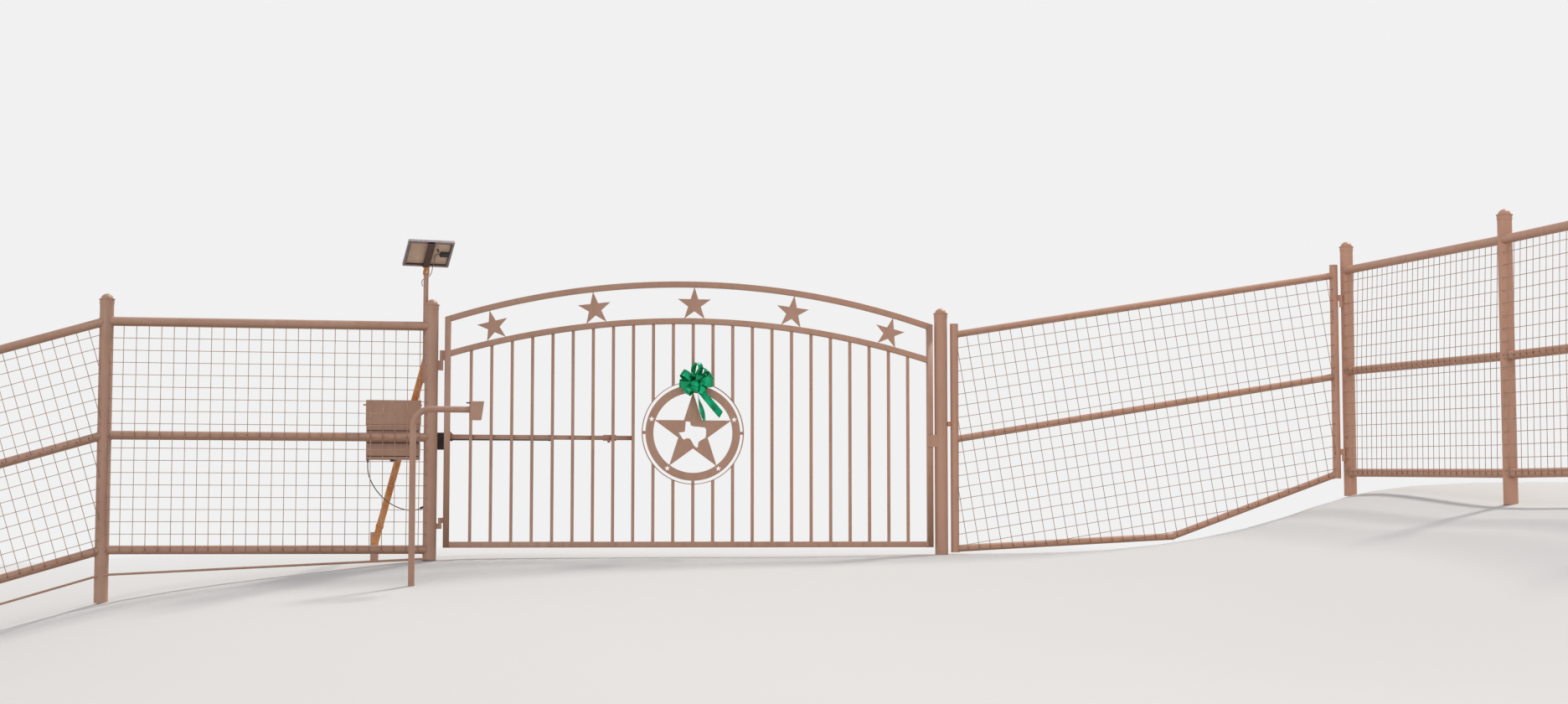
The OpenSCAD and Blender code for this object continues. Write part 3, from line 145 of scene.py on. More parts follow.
class Shape:
    """Collects the points and faces of one piece."""

    def __init__(self):
        self.points = []
        self.faces = []
        self.flat = set()

    def add(self, points, faces, flat=False):
        start = len(self.points)
        self.points.extend(Vector(p) for p in points)
        for face in faces:
            if flat:
                self.flat.add(len(self.faces))
            self.faces.append([start + i for i in face])

    def loft(self, rings, closed=False, caps=True, flat=False):
        """Joins rings of equal size into a skin."""
        n = len(rings[0])
        points = [p for ring in rings for p in ring]
        faces = []
        count = len(rings) if closed else len(rings) - 1
        for i in range(count):
            j = (i + 1) % len(rings)
            for k in range(n):
                m = (k + 1) % n
                faces.append([i * n + k, i * n + m, j * n + m, j * n + k])
        self.add(points, faces, flat)
        if caps and not closed:
            last = (len(rings) - 1) * n
            start = len(self.points) - len(points)
            for face in (list(range(n))[::-1], list(range(last, last + n))):
                self.flat.add(len(self.faces))
                self.faces.append([start + i for i in face])

    def tube(self, path, radius, sides=8, closed=False, caps=True, scale=None):
        """A round bar along a path."""
        frames = carry_frames(path, closed)
        rings = []
        for i, (point, (side, up)) in enumerate(zip(path, frames)):
            r = radius * (scale(i) if scale else 1)
            rings.append([point + side * a + up * b for a, b in circle(r, sides)])
        self.loft(rings, closed, caps)

    def profile(self, path, outline, up_axis, tenon=0.0):
        """A bar of any section along a path whose section keeps one axis. A tenon at each
        end, a little smaller than the bar, runs into what the bar is welded to."""
        rings = []
        if tenon:
            first = (path[0] - path[1]).normalized() * tenon
            last = (path[-1] - path[-2]).normalized() * tenon
            path = [path[0] + first, *path, path[-1] + last]
        for i, point in enumerate(path):
            ahead = path[min(i + 1, len(path) - 1)] - path[max(i - 1, 0)]
            side = ahead.cross(up_axis).normalized()
            up = side.cross(ahead).normalized()
            keep = TENON_KEEP if tenon and i in (0, len(path) - 1) else 1
            rings.append([point + (side * a + up * b) * keep for a, b in outline])
        self.loft(rings)

    def block(self, low, high, round_by=0.0):
        """A box between two corners, its edges cut back by a small chamfer."""
        c = (Vector(low) + Vector(high)) / 2
        h = (Vector(high) - Vector(low)) / 2
        b = min(round_by, 0.45 * min(h))
        rings = []
        for z, inset in ((-h.z, b), (-h.z + b, 0), (h.z - b, 0), (h.z, b)):
            x, y = h.x - inset, h.y - inset
            rings.append([Vector((sx * (x - (b if ax else 0)), sy * (y - (0 if ax else b)), z))
                          for sx, sy, ax in ((1, -1, 0), (1, 1, 0), (1, 1, 1), (-1, 1, 1),
                                             (-1, 1, 0), (-1, -1, 0), (-1, -1, 1), (1, -1, 1))])
        self.loft([[p + c for p in ring] for ring in rings], flat=True)

    def prism(self, outline, depth, place, bevel=0.0):
        """A flat plate of an outline in x and z, placed by a function of x, depth and z."""
        n = len(outline)
        centre = Vector((sum(p[0] for p in outline) / n, sum(p[1] for p in outline) / n))
        rings = []
        half = depth / 2
        for d, inset in ((-half, bevel), (-half + bevel, 0), (half - bevel, 0), (half, bevel)):
            ring = []
            for p in outline:
                away = Vector(p) - centre
                q = centre + away * (1 - inset / away.length)
                ring.append(place(q.x, d, q.y))
            rings.append(ring)
        self.loft(rings, flat=True)

    def ball(self, centre, radius, squash, rings=4, sides=7):
        loops = []
        for i in range(rings + 1):
            a = math.pi * (i + 0.02) / (rings + 0.04)
            z = -radius * squash[2] * math.cos(a)
            loops.append([Vector(centre) + Vector((squash[0] * x, squash[1] * y, z))
                          for x, y in circle(radius * math.sin(a), sides)])
        self.loft(loops)

    def bolt(self, at, axis, head, washer=0.0):
        """A hexagon head with a domed top, and its washer, on an axis."""
        z = Vector(axis).normalized()
        x = z.orthogonal().normalized()
        y = z.cross(x)
        at = Vector(at)

        def ring(r, h, n):
            return [at + z * h + x * a + y * b for a, b in circle(r, n)]
        base = 0.0
        if washer:
            self.loft([ring(washer, 0, 16), ring(washer, WASHER_T, 16)], flat=True)
            base = WASHER_T
        tall = 0.6 * head
        self.loft([ring(head * wide, base + tall * up, 6) for wide, up in ((1, 0), (1, 0.8), (0.8, 1))],
                  flat=True)

    def build(self, name, body, look, slot_name, stands_for=None):
        mesh = bpy.data.meshes.new(name)
        mesh.from_pydata([tuple(p) for p in self.points], [], self.faces)
        made = bmesh.new()
        made.from_mesh(mesh)
        bmesh.ops.recalc_face_normals(made, faces=made.faces)
        made.to_mesh(mesh)
        made.free()
        mesh.polygons.foreach_set("use_smooth", [i not in self.flat for i in range(len(mesh.polygons))])
        mesh.update()
        piece = add_object(name, mesh)
        mesh.materials.append(MAT[look])
        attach(piece, body)
        if stands_for:
            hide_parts(stands_for)
        return piece


def carry_frames(path, closed=False):
    """Two directions across the path at each point, carried along it without twist."""
    n = len(path)
    frames = []
    side = None
    for i in range(n):
        before = path[(i - 1) % n] if closed or i > 0 else path[i]
        after = path[(i + 1) % n] if closed or i < n - 1 else path[i]
        ahead = (after - before).normalized()
        if side is None:
            pick = Vector((0, 0, 1)) if abs(ahead.z) < 0.9 else Vector((0, 1, 0))
            side = ahead.cross(pick).normalized()
        side = (side - ahead * side.dot(ahead)).normalized()
        frames.append((side, ahead.cross(side)))
    return frames


def grid_faces(rows, cols):
    """Faces that join rows of points into a sheet."""
    return [[i * cols + c, i * cols + c + 1, (i + 1) * cols + c + 1, (i + 1) * cols + c]
            for i in range(rows - 1) for c in range(cols - 1)]


def rounded_square(w, h, r, steps=3):
    """Outline of a tube's section with rounded corners."""
    points = []
    for cx, cy, start in ((w / 2 - r, h / 2 - r, 0), (-w / 2 + r, h / 2 - r, 90),
                          (-w / 2 + r, -h / 2 + r, 180), (w / 2 - r, -h / 2 + r, 270)):
        for k in range(steps + 1):
            a = math.radians(start + 90 * k / steps)
            points.append((cx + r * math.cos(a), cy + r * math.sin(a)))
    return points


# Materials

class Nodes:
    """A short way to wire the nodes of a material or a world."""

    def __init__(self, block):
        block.use_nodes = True
        self.tree = block.node_tree

    def node(self, kind, **values):
        made = self.tree.nodes.new(kind)
        for key, value in values.items():
            if hasattr(made, key) and key not in made.inputs:
                setattr(made, key, value)
            else:
                made.inputs[key].default_value = value
        return made

    def link(self, source, target):
        self.tree.links.new(source, target)

    def either(self, a, b):
        """1 on the rays that one or the other kind of ray counts."""
        return self.times(a, b, "MAXIMUM")

    def blend_surfaces(self, factor, a, b, target):
        mixed = self.node("ShaderNodeMixShader")
        for source, socket in zip((factor, a, b), mixed.inputs):
            self.link(source, socket)
        self.link(mixed.outputs[0], target)

    def feed(self, socket, value):
        """Gives a socket a number, a colour or what another socket puts out."""
        if isinstance(value, (int, float)):
            socket.default_value = value
        elif isinstance(value, tuple):
            socket.default_value = (*value, 1)
        else:
            self.link(value, socket)

    def times(self, a, b, operation="MULTIPLY"):
        made = self.node("ShaderNodeMath", operation=operation)
        for socket, value in zip(made.inputs, (a, b)):
            self.feed(socket, value)
        return made.outputs[0]


class Shader(Nodes):
    """A material's nodes."""

    def __init__(self, name):
        self.material = bpy.data.materials.new(name)
        super().__init__(self.material)
        self.main = self.tree.nodes["Principled BSDF"]
        self.place = self.node("ShaderNodeTexCoord").outputs["Object"]

    def stretched(self, scale):
        mapping = self.node("ShaderNodeMapping", Scale=scale)
        self.link(self.place, mapping.inputs["Vector"])
        return mapping.outputs["Vector"]

    def noise(self, size, detail=3.0, rough=0.55, stretch=None):
        """Cloudy noise whose patches are about this many metres across."""
        made = self.node("ShaderNodeTexNoise", Scale=1 / size, Detail=detail, Roughness=rough)
        self.link(self.stretched(stretch) if stretch else self.place, made.inputs["Vector"])
        return made.outputs["Fac"]

    def step(self, value, low, high, ends=(0, 1)):
        """Turns a value into the first end below low and the second above high."""
        made = self.node("ShaderNodeMapRange", clamp=True)
        for key, number in zip(("From Min", "From Max", "To Min", "To Max"), (low, high, *ends)):
            made.inputs[key].default_value = number
        self.link(value, made.inputs["Value"])
        return made.outputs["Result"]

    def patches(self, size, detail, low, high, rough=0.55, stretch=None):
        """Clouds with clear edges: 0 where the noise is under low and 1 where it is over high."""
        return self.step(self.noise(size, detail, rough, stretch), low, high)

    def mix(self, factor, a, b):
        """Mixes two colours, given as a colour or a socket."""
        made = self.node("ShaderNodeMix", data_type="RGBA")
        sockets = made.inputs[:1] + [s for s in made.inputs if s.type == "RGBA"]
        for socket, value in zip(sockets, (factor, a, b)):
            self.feed(socket, value)
        return [s for s in made.outputs if s.type == "RGBA"][0]

    def colour(self, base, *covers):
        """A base colour under covers, each a pattern, its share and its own colour."""
        for pattern, share, top in covers:
            base = self.mix(self.times(pattern, share), base, top)
        self.link(base, self.main.inputs["Base Color"])

    def roughness(self, factor, low, high):
        self.link(self.step(factor, 0, 1, (low, high)), self.main.inputs["Roughness"])

    def surface(self, **values):
        for key, value in values.items():
            self.main.inputs[key.replace("_", " ")].default_value = value

    def bump(self, height, distance, strength=1.0):
        made = self.node("ShaderNodeBump", Distance=distance, Strength=strength)
        self.link(height, made.inputs["Height"])
        if self.main.inputs["Normal"].is_linked:
            self.link(self.main.inputs["Normal"].links[0].from_socket, made.inputs["Normal"])
        self.link(made.outputs["Normal"], self.main.inputs["Normal"])

    def along(self, source, axis, low, high):
        """0 under one value and 1 over another along an axis."""
        split = self.node("ShaderNodeSeparateXYZ")
        self.link(source, split.inputs[0])
        return self.step(split.outputs[axis], low, high)

    def facing(self, low, high):
        """0 and 1 at two slants of the surface: -1 looks straight down and 1 straight up."""
        return self.along(self.node("ShaderNodeNewGeometry").outputs["Normal"], "Z", low, high)

    def facing_up(self):
        return self.facing(-0.2, 1.0)

    def facing_down(self):
        return self.facing(0.0, -0.9)


TAN = (0.385, 0.212, 0.143)
TAN_PALE = (0.455, 0.270, 0.190)
TAN_DARK = (0.265, 0.138, 0.085)
TAN_SUN = (0.573, 0.304, 0.199)
# Painted shade that the paint's downward faces take on
TAN_UNDERSIDE_SHADE = (0.260, 0.128, 0.068)
# Dust colour, made pale and lilac so that the upward faces it covers also carry a painted sky sheen
DUST_AND_SKY_SHEEN = (0.520, 0.385, 0.320)
RUST = (0.170, 0.052, 0.020)
# The right end of the fence stands more in the sun, from one x to another
SUNNY_X = (1.0, 6.5)


def paint_material(name, rust=0.03, grime=0.3):
    """Tan enamel on steel: faded, streaked, with rust freckles; patchy dust with a painted sky sheen on top,
    painted shade on the undersides and painted sunlight toward the fence's right end.
    """
    s = Shader(name)
    streaks = s.patches(0.05, 4, 0.50, 0.75, 0.6, (1, 1, 0.10))
    dust_and_sheen = s.times(s.facing_up(), s.patches(0.09, 5, 0.35, 0.75, 0.6))
    spots = s.times(s.patches(0.009, 3, 0.72 - rust, 0.78 - rust, 0.6), s.patches(0.22, 3, 0.50, 0.62))
    # Over the tan: painted sunlight toward the right end, dirt streaks, painted shade on downward faces, dust
    # with a painted sky sheen on upward faces, and rust freckles
    s.colour(s.mix(s.patches(0.55, 4, 0.35, 0.70), TAN, TAN_PALE),
             (s.along(s.place, "X", *SUNNY_X), 0.85, TAN_SUN),
             (streaks, grime, TAN_DARK), (s.facing_down(), 0.65, TAN_UNDERSIDE_SHADE), (dust_and_sheen, 0.45, DUST_AND_SKY_SHEEN),
             (spots, 0.85, RUST))
    s.roughness(s.noise(0.04, 4), 0.34, 0.54)
    s.bump(s.noise(0.0035, 2), 0.00025, 0.35)
    s.bump(s.noise(0.02, 3), 0.0005, 0.30)
    s.bump(spots, 0.0006, 0.5)
    return s.material


def wire_material():
    s = Shader("wire_paint")
    rust = s.patches(0.030, 4, 0.60, 0.68, 0.65)
    s.colour(s.mix(s.patches(0.06, 4, 0.4, 0.65), (0.390, 0.232, 0.155), (0.500, 0.345, 0.255)),
             (rust, 0.8, RUST))
    s.roughness(rust, 0.45, 0.8)
    s.bump(s.noise(0.003, 3), 0.0003, 0.4)
    return s.material


def rust_material(name, base=(0.47, 0.165, 0.036), pale=(0.68, 0.315, 0.110)):
    s = Shader(name)
    fine = s.patches(0.010, 5, 0.40, 0.70, 0.7)
    s.colour(s.mix(s.patches(0.12, 5, 0.35, 0.68, 0.6), base, pale), (fine, 0.40, (0.20, 0.060, 0.022)))
    s.roughness(fine, 0.62, 0.92)
    s.bump(s.noise(0.004, 5, 0.7), 0.0006, 0.6)
    return s.material


def clouded_material(name, clouds, colours, rough, bump, **surface):
    """Two colours in clouds. Rough and bump each give a noise and then what it does."""
    s = Shader(name)
    s.surface(**surface)
    s.colour(s.mix(s.patches(*clouds), *colours))
    s.roughness(s.noise(*rough[0]), *rough[1:])
    s.bump(s.noise(*bump[0]), *bump[1:])
    return s.material


def metal_material(name, colour, low, high, grain=(1, 1, 1)):
    worn = tuple(0.72 * c for c in colour)
    return clouded_material(name, (0.03, 4, 0.35, 0.7), (colour, worn), ((0.004, 3, 0.6, grain), low, high),
                            ((0.0015, 2, 0.5, grain), 0.0001, 0.4), Metallic=1.0)


def plastic_material(name, colour, rough=0.5, dust_and_sheen=0.25):
    s = Shader(name)
    faded = s.mix(s.patches(0.08, 3, 0.4, 0.7), colour, tuple(1.5 * c + 0.01 for c in colour))
    s.colour(faded, (s.times(s.facing_up(), s.patches(0.03, 5, 0.35, 0.75)), dust_and_sheen, DUST_AND_SKY_SHEEN))
    s.roughness(s.noise(0.01, 3), rough - 0.08, rough + 0.12)
    s.bump(s.noise(0.0012, 2), 0.0002, 0.5)
    return s.material


def sheet_material():
    """Panel's laminated back, sun-bleached and stained."""
    s = Shader("panel_sheet")
    s.colour(s.mix(s.patches(0.10, 4, 0.35, 0.7), (0.46, 0.325, 0.235), (0.58, 0.420, 0.310)),
             (s.patches(0.02, 5, 0.62, 0.8, 0.7), 0.4, (0.30, 0.22, 0.17)))
    s.roughness(s.noise(0.02, 3), 0.35, 0.5)
    s.bump(s.noise(0.003, 2), 0.0002, 0.3)
    return s.material


# Shiny florist's ribbon in broad soft creases
RIBBON_CREASE = (0.030, 2, 0.4)
MAT = {
    "paint": paint_material("tan_paint"),
    "low_paint": paint_material("tan_paint_low", rust=0.08, grime=0.6),
    "wire": wire_material(),
    "rust": rust_material("rusty_pipe"),
    "tack": clouded_material(
        "rusty_tack", (0.01, 4, 0.4, 0.6), ((0.130, 0.042, 0.020), (0.25, 0.115, 0.062)),
        ((0.004, 3), 0.75, 0.92), ((0.002, 3), 0.0004, 0.6)),
    "steel": metal_material("bare_steel", (0.62, 0.61, 0.59), 0.22, 0.42, (0.1, 1, 1)),
    "zinc": metal_material("zinc_steel", (0.55, 0.55, 0.54), 0.35, 0.6),
    "frame": metal_material("panel_frame", (0.36, 0.32, 0.34), 0.30, 0.48),
    "black": plastic_material("black_plastic", (0.012, 0.012, 0.013), 0.48),
    "black_paint": plastic_material("black_enamel", (0.016, 0.015, 0.015), 0.36, 0.35),
    "sheet": sheet_material(),
    "cells": clouded_material(
        "solar_cells", (0.02, 4, 0.35, 0.7, 0.6), ((0.008, 0.012, 0.045), (0.018, 0.026, 0.080)),
        ((0.012, 4, 0.6), 0.07, 0.20), ((0.006, 2), 0.0001, 0.3), Coat_Weight=1.0, Coat_Roughness=0.04),
    # The ribbon's colour clouds are painted light: pale teal patches are painted highlights, dark green
    # patches painted shade in the folds
    "ribbon": clouded_material(
        "ribbon_with_painted_sheen", (0.070, 1, 0.25, 0.75, 0.3), ((0.000, 0.210, 0.064), (0.000, 0.590, 0.265)),
        (RIBBON_CREASE, 0.14, 0.28), (RIBBON_CREASE, 0.0060, 0.7),
        Metallic=0.60, Coat_Weight=0.12, Coat_Roughness=0.08),
    "cable": clouded_material(
        "cable_jacket", (0.05, 4, 0.4, 0.7), ((0.090, 0.062, 0.045), (0.200, 0.135, 0.095)),
        ((0.02, 3), 0.5, 0.75), ((0.003, 3), 0.0002, 0.5)),
    "key": metal_material("key_steel", (0.58, 0.57, 0.56), 0.28, 0.4),
    # Near-black rust look that paints shade on the panel's back channel and on the frame's inner lips
    "channel": rust_material("channel_painted_shade", (0.040, 0.027, 0.024), (0.080, 0.054, 0.046)),
    "bright_bolt": metal_material("bright_bolt", (0.80, 0.78, 0.74), 0.25, 0.4),
}

SLOT_MATERIAL = {
    "painted_steel": "paint",
    "painted_wire": "wire",
    "rusty_steel": "rust",
    "bare_steel": "steel",
    "black_paint": "black_paint",
    "black_plastic": "black",
    "cable_jacket": "cable",
    "panel_frame": "frame",
    "panel_sheet": "sheet",
    "ribbon": "ribbon",
}
NODE_MATERIAL = {
    "ground_rods": "low_paint",
    "keypad_panel": "key",
    "brace_post": "low_paint",
}


def finish_cad_nodes():
    """Gives every CAD node its material."""
    slots = {p["node"]: p["material_slot"] for p in frame["record"]["subparts"]}
    for name, node in frame["nodes"].items():
        kind = NODE_MATERIAL.get(name, SLOT_MATERIAL[slots[name]])
        node.data.materials.clear()
        node.data.materials.append(MAT[kind])


finish_cad_nodes()


# The free cords: the control cable to the hinge post, and the panel's lead

CABLE_D = 0.009
CABLE_ROUTE = [
    (-0.520, 0.130, 0.827), (-0.520, 0.130, 0.800), (-0.519, 0.130, 0.770), (-0.514, 0.130, 0.735),
    (-0.504, 0.130, 0.700), (-0.490, 0.129, 0.665), (-0.471, 0.128, 0.630), (-0.450, 0.126, 0.597),
    (-0.425, 0.123, 0.565), (-0.397, 0.119, 0.535), (-0.365, 0.113, 0.506), (-0.330, 0.105, 0.480),
    (-0.290, 0.095, 0.457), (-0.248, 0.082, 0.439), (-0.205, 0.066, 0.427), (-0.163, 0.048, 0.421),
    (-0.123, 0.030, 0.423), (-0.096, 0.018, 0.429), (-0.078, 0.010, 0.437),
]
LEAD_D = 0.006
LEAD_ROUTE = [
    (0.063, -0.023, 2.593), (0.052, -0.027, 2.593), (0.040, -0.034, 2.593), (0.029, -0.037, 2.590),
    (0.021, -0.033, 2.583), (0.017, -0.022, 2.572), (0.018, -0.005, 2.557), (0.018, 0.012, 2.542),
    (0.015, 0.027, 2.527), (0.009, 0.039, 2.512), (0.004, 0.046, 2.497), (0.001, 0.050, 2.480),
    (-0.001, 0.055, 2.462), (-0.006, 0.063, 2.445), (-0.013, 0.074, 2.430), (-0.024, 0.085, 2.417),
    (-0.040, 0.091, 2.407), (-0.056, 0.091, 2.398), (-0.070, 0.084, 2.390), (-0.080, 0.073, 2.380),
    (-0.0845, 0.062, 2.368), (-0.0855, 0.057, 2.355), (-0.084, 0.055, 2.343), (-0.0805, 0.0555, 2.333),
    (-0.075, 0.0565, 2.327),
]


def smooth_route(points, steps=3):
    """More points on a smooth curve through the given ones."""
    made = []
    for i in range(len(points) - 1):
        a = Vector(points[max(i - 1, 0)])
        b = Vector(points[i])
        c = Vector(points[i + 1])
        d = Vector(points[min(i + 2, len(points) - 1)])
        for k in range(steps):
            t = k / steps
            made.append(0.5 * ((2 * b) + (c - a) * t + (2 * a - 5 * b + 4 * c - d) * t * t
                               + (3 * b - a - 3 * c + d) * t ** 3))
    made.append(Vector(points[-1]))
    return made


def make_cord(name, points, diameter):
    route = smooth_route(points)
    shape = Shape()
    shape.tube(route, diameter / 2, 12)
    cord = shape.build(name, "fence", "cable", "cable_jacket", "cables")


make_cord("control_cable_jacket", CABLE_ROUTE, CABLE_D)
make_cord("panel_lead_jacket", LEAD_ROUTE, LEAD_D)


# Stage: a plain pale floor that meets every post's foot, a pale world and soft light

# Feet of the posts, then points that shape the plain floor between and around them
FEET = [
    (-5.34, 0, -1.138), (-2.67, 0, -0.345), (0, 0, 0), (4.456, 0, 0.04), (8.292, 0, 0.565),
    (8.292, -3.013, 0.45), (8.292, -6.026, 0.40), (-0.175, -1.1, -0.197), (-0.437, 1.2, -0.016),
]
GROUND = [
    (2.2, 0, 0.02), (0, 4.3, 0.0), (2.2, 2.2, 0.0), (4.4, 3, 0.01), (6.58, 0, 0.13), (7.4, 0, 0.29),
    (6.9, 1.5, 0.03), (8.2, 1.65, 0.12), (8.2, 3.7, 0.0), (5.6, 2.6, 0.0), (8.2, 0.85, 0.30),
    (-6, 3, -1.0), (-2.67, 2.5, -0.3), (12, 0, 0.5), (12, 5, 0.1), (2, 9, 0.0), (-8, 9, -0.6), (12, 12, 0.0),
    (0.6, -3, -0.33), (0.6, -8, -0.55), (0, -14, -0.80), (4.4, -3, -0.20), (4.4, -8, -0.55),
    (-2.67, -3, -0.62), (-5.34, -3, -1.30), (-5, -10, -1.2), (7.6, -10, -0.3), (12, -4, 0.5),
    (12, -11, 0.0), (5.5, -14, -0.75), (-9, 0, -1.9), (-9, -8, -1.7),
]


def ground_surface():
    """A smooth surface through the feet and the ground points, as a function of x and y."""
    known = numpy.array(FEET + GROUND, dtype=float)
    n = len(known)

    def curve(d):
        return numpy.where(d > 1e-9, d * d * numpy.log(numpy.maximum(d, 1e-9)), 0.0)
    gaps = numpy.hypot(known[:, None, 0] - known[None, :, 0], known[:, None, 1] - known[None, :, 1])
    side = numpy.column_stack([numpy.ones(n), known[:, 0], known[:, 1]])
    system = numpy.block([[curve(gaps), side], [side.T, numpy.zeros((3, 3))]])
    weights = numpy.linalg.solve(system, numpy.concatenate([known[:, 2], numpy.zeros(3)]))

    def height(x, y):
        d = numpy.hypot(known[:, 0] - x, known[:, 1] - y)
        return float(curve(d) @ weights[:n] + weights[n] + weights[n + 1] * x + weights[n + 2] * y)
    return height


FLOOR_STEP = 0.4
FLOOR_REACH = 14.0
FLOOR_LIFT = 0.003
FLOOR_MIDDLE = (1.5, -2.0)


def make_floor():
    height = ground_surface()
    reach = round(FLOOR_REACH / FLOOR_STEP)
    steps = [k * FLOOR_STEP for k in range(-reach, reach + 1)]
    far = [FLOOR_REACH + more for more in (3, 10, 45)]
    line = [-f for f in reversed(far)] + steps + far
    points = []
    for y in line:
        for x in line:
            near = [max(-FLOOR_REACH, min(FLOOR_REACH, v)) + m for v, m in zip((x, y), FLOOR_MIDDLE)]
            points.append((x + FLOOR_MIDDLE[0], y + FLOOR_MIDDLE[1], height(*near) + FLOOR_LIFT))
    mesh = bpy.data.meshes.new("floor")
    mesh.from_pydata(points, [], grid_faces(len(line), len(line)))
    mesh.polygons.foreach_set("use_smooth", [True] * len(mesh.polygons))
    mesh.materials.append(floor_material())
    add_object("floor", mesh)


PALE = (0.88, 0.88, 0.88)
FADE_MIDDLE = (2.0, -2.0, 0)
FLOOR_NEAR = 9.0
FLOOR_FAR = 24.0


def floor_material():
    """Pale matt floor that fades into the pale world with distance from the object."""
    s = Shader("stage_floor")
    s.surface(Base_Color=(0.62, 0.61, 0.59, 1), Roughness=0.9)
    away = s.node("ShaderNodeVectorMath", operation="DISTANCE")
    s.link(s.place, away.inputs[0])
    away.inputs[1].default_value = FADE_MIDDLE
    fade = s.step(away.outputs["Value"], FLOOR_NEAR, FLOOR_FAR)
    glow = s.node("ShaderNodeEmission", Color=(*PALE, 1))
    seen = s.node("ShaderNodeLightPath")
    either = s.either(seen.outputs["Is Camera Ray"], seen.outputs["Is Glossy Ray"])
    s.blend_surfaces(s.times(fade, either), s.main.outputs[0], glow.outputs[0],
                     s.tree.nodes["Material Output"].inputs["Surface"])
    return s.material


def make_world():
    world = bpy.data.worlds.new("studio")
    s = Nodes(world)
    back = s.tree.nodes["Background"]
    back.inputs["Color"].default_value = (0.93, 0.94, 1.0, 1)
    back.inputs["Strength"].default_value = 0.66
    seen = s.node("ShaderNodeBackground", Color=(*PALE, 1))
    path = s.node("ShaderNodeLightPath")
    either = s.either(path.outputs["Is Camera Ray"], path.outputs["Is Transmission Ray"])
    s.blend_surfaces(either, back.outputs[0], seen.outputs[0], s.tree.nodes["World Output"].inputs["Surface"])
    bpy.context.scene.world = world


def make_sun(name, strength, angle, pitch, turn, colour):
    light = bpy.data.lights.new(name, "SUN")
    light.energy = strength
    light.angle = math.radians(angle)
    light.color = colour
    add_object(name, light).rotation_euler = (math.radians(pitch), 0, math.radians(turn))


make_floor()
make_world()
make_sun("key", 2.3, 10, -36, -59, (1.0, 0.96, 0.90))
make_sun("front_fill", 0.5, 40, -65, 150, (1.0, 0.97, 0.94))
bpy.context.scene.view_settings.view_transform = "Standard"


# Welded wire mesh

SHORTEST_WIRE = 0.015
WIRE_STEP = 0.2
WIRE_SWAY = 0.0012
WAVES = (3.1, 2.3)
LAYER_GAP = 1.55 * WIRE_R
PANEL_GAP = 0.001
UPPER_INSET = 0.024
TACK_SHAPE = (1.1, 0.45, 1.3)
TACK_SIZES = (0.0045, 0.0075)
SIDE_TACK_SIZES = (0.0045, 0.007)
TACK_SHIFT = 0.002
TACK_IN = 0.0022
SIDE_TACK_IN = 0.002
MOST_WIRES = 60


def clip_line(point, direction, outline):
    """Start and end of a line's run inside a convex outline, or None."""
    low, high = -1e9, 1e9
    n = len(outline)
    for i in range(n):
        a = Vector(outline[i])
        b = Vector(outline[(i + 1) % n])
        edge = b - a
        inward = Vector((-edge.y, edge.x))
        ahead = inward.dot(direction)
        behind = inward.dot(point - a)
        if abs(ahead) < 1e-12:
            if behind < 0:
                return None
            continue
        t = -behind / ahead
        if ahead > 0:
            low = max(low, t)
        else:
            high = min(high, t)
    return (low, high) if high - low > SHORTEST_WIRE else None


def wire_lines(outline, anchor, slope, across):
    """Lines of one wire layer inside the outline, as pairs of ends."""
    a = math.atan(slope)
    along = Vector((math.cos(a), math.sin(a)))
    up = Vector((-along.y, along.x))
    direction, offset = (along, up) if across else (up, along)
    lines = []
    for k in range(-MOST_WIRES, MOST_WIRES + 1):
        point = Vector(anchor) + offset * (k * MESH_PITCH)
        run = clip_line(point, direction, outline)
        if run:
            lines.append((point + direction * run[0], point + direction * run[1]))
    return lines


def wire_panel(name, body, place, outline, anchor, slope, seed):
    """A mesh panel of two welded layers of round wire; place maps x, depth and z to the frame."""
    rng = random.Random(seed)
    phase = rng.uniform(0, 6)
    shape = Shape()
    for across in (False, True):
        depth = -LAYER_GAP if across else 0.0
        for start, end in wire_lines(outline, anchor, slope, across):
            length = (end - start).length
            count = max(2, int(length / WIRE_STEP))
            sway = rng.uniform(-WIRE_SWAY, WIRE_SWAY)
            normal = Vector((-(end - start).y, (end - start).x)).normalized()
            path = []
            for k in range(count + 1):
                t = k / count
                p = start + (end - start) * t + normal * sway * math.sin(math.pi * t)
                wave = WIRE_SWAY * math.sin(WAVES[0] * p.x + phase) * math.sin(WAVES[1] * p.y + phase)
                path.append(place(p.x, depth - abs(wave), p.y))
            shape.tube(path, WIRE_R, 6)
    shape.build(name + "_wires", body, "wire", "painted_wire", name)
    return wire_lines(outline, anchor, slope, False)


def bay_outlines(span, low, mid, top, slope, first):
    """Outlines of a bay's lower and upper panels in local x and z."""
    edge = WIRE_EDGE
    under = RAIL_R * math.cos(math.radians(30))
    inner = edge + UPPER_INSET
    high = top - under - 2 * WIRE_R

    def outline(*corners):
        return [(x, z + slope * x) for x, z in corners]
    lower = outline((first, low - MESH_HOOK), (span - edge, low - MESH_HOOK),
                    (span - edge, mid - PANEL_GAP), (first, mid - PANEL_GAP))
    upper = outline((edge, mid + PANEL_GAP), (span - edge, mid + PANEL_GAP),
                    (span - inner, high), (inner, high))
    lean = math.atan(RAIL_R / 2 / (top - under - mid))
    return lower, upper, lean


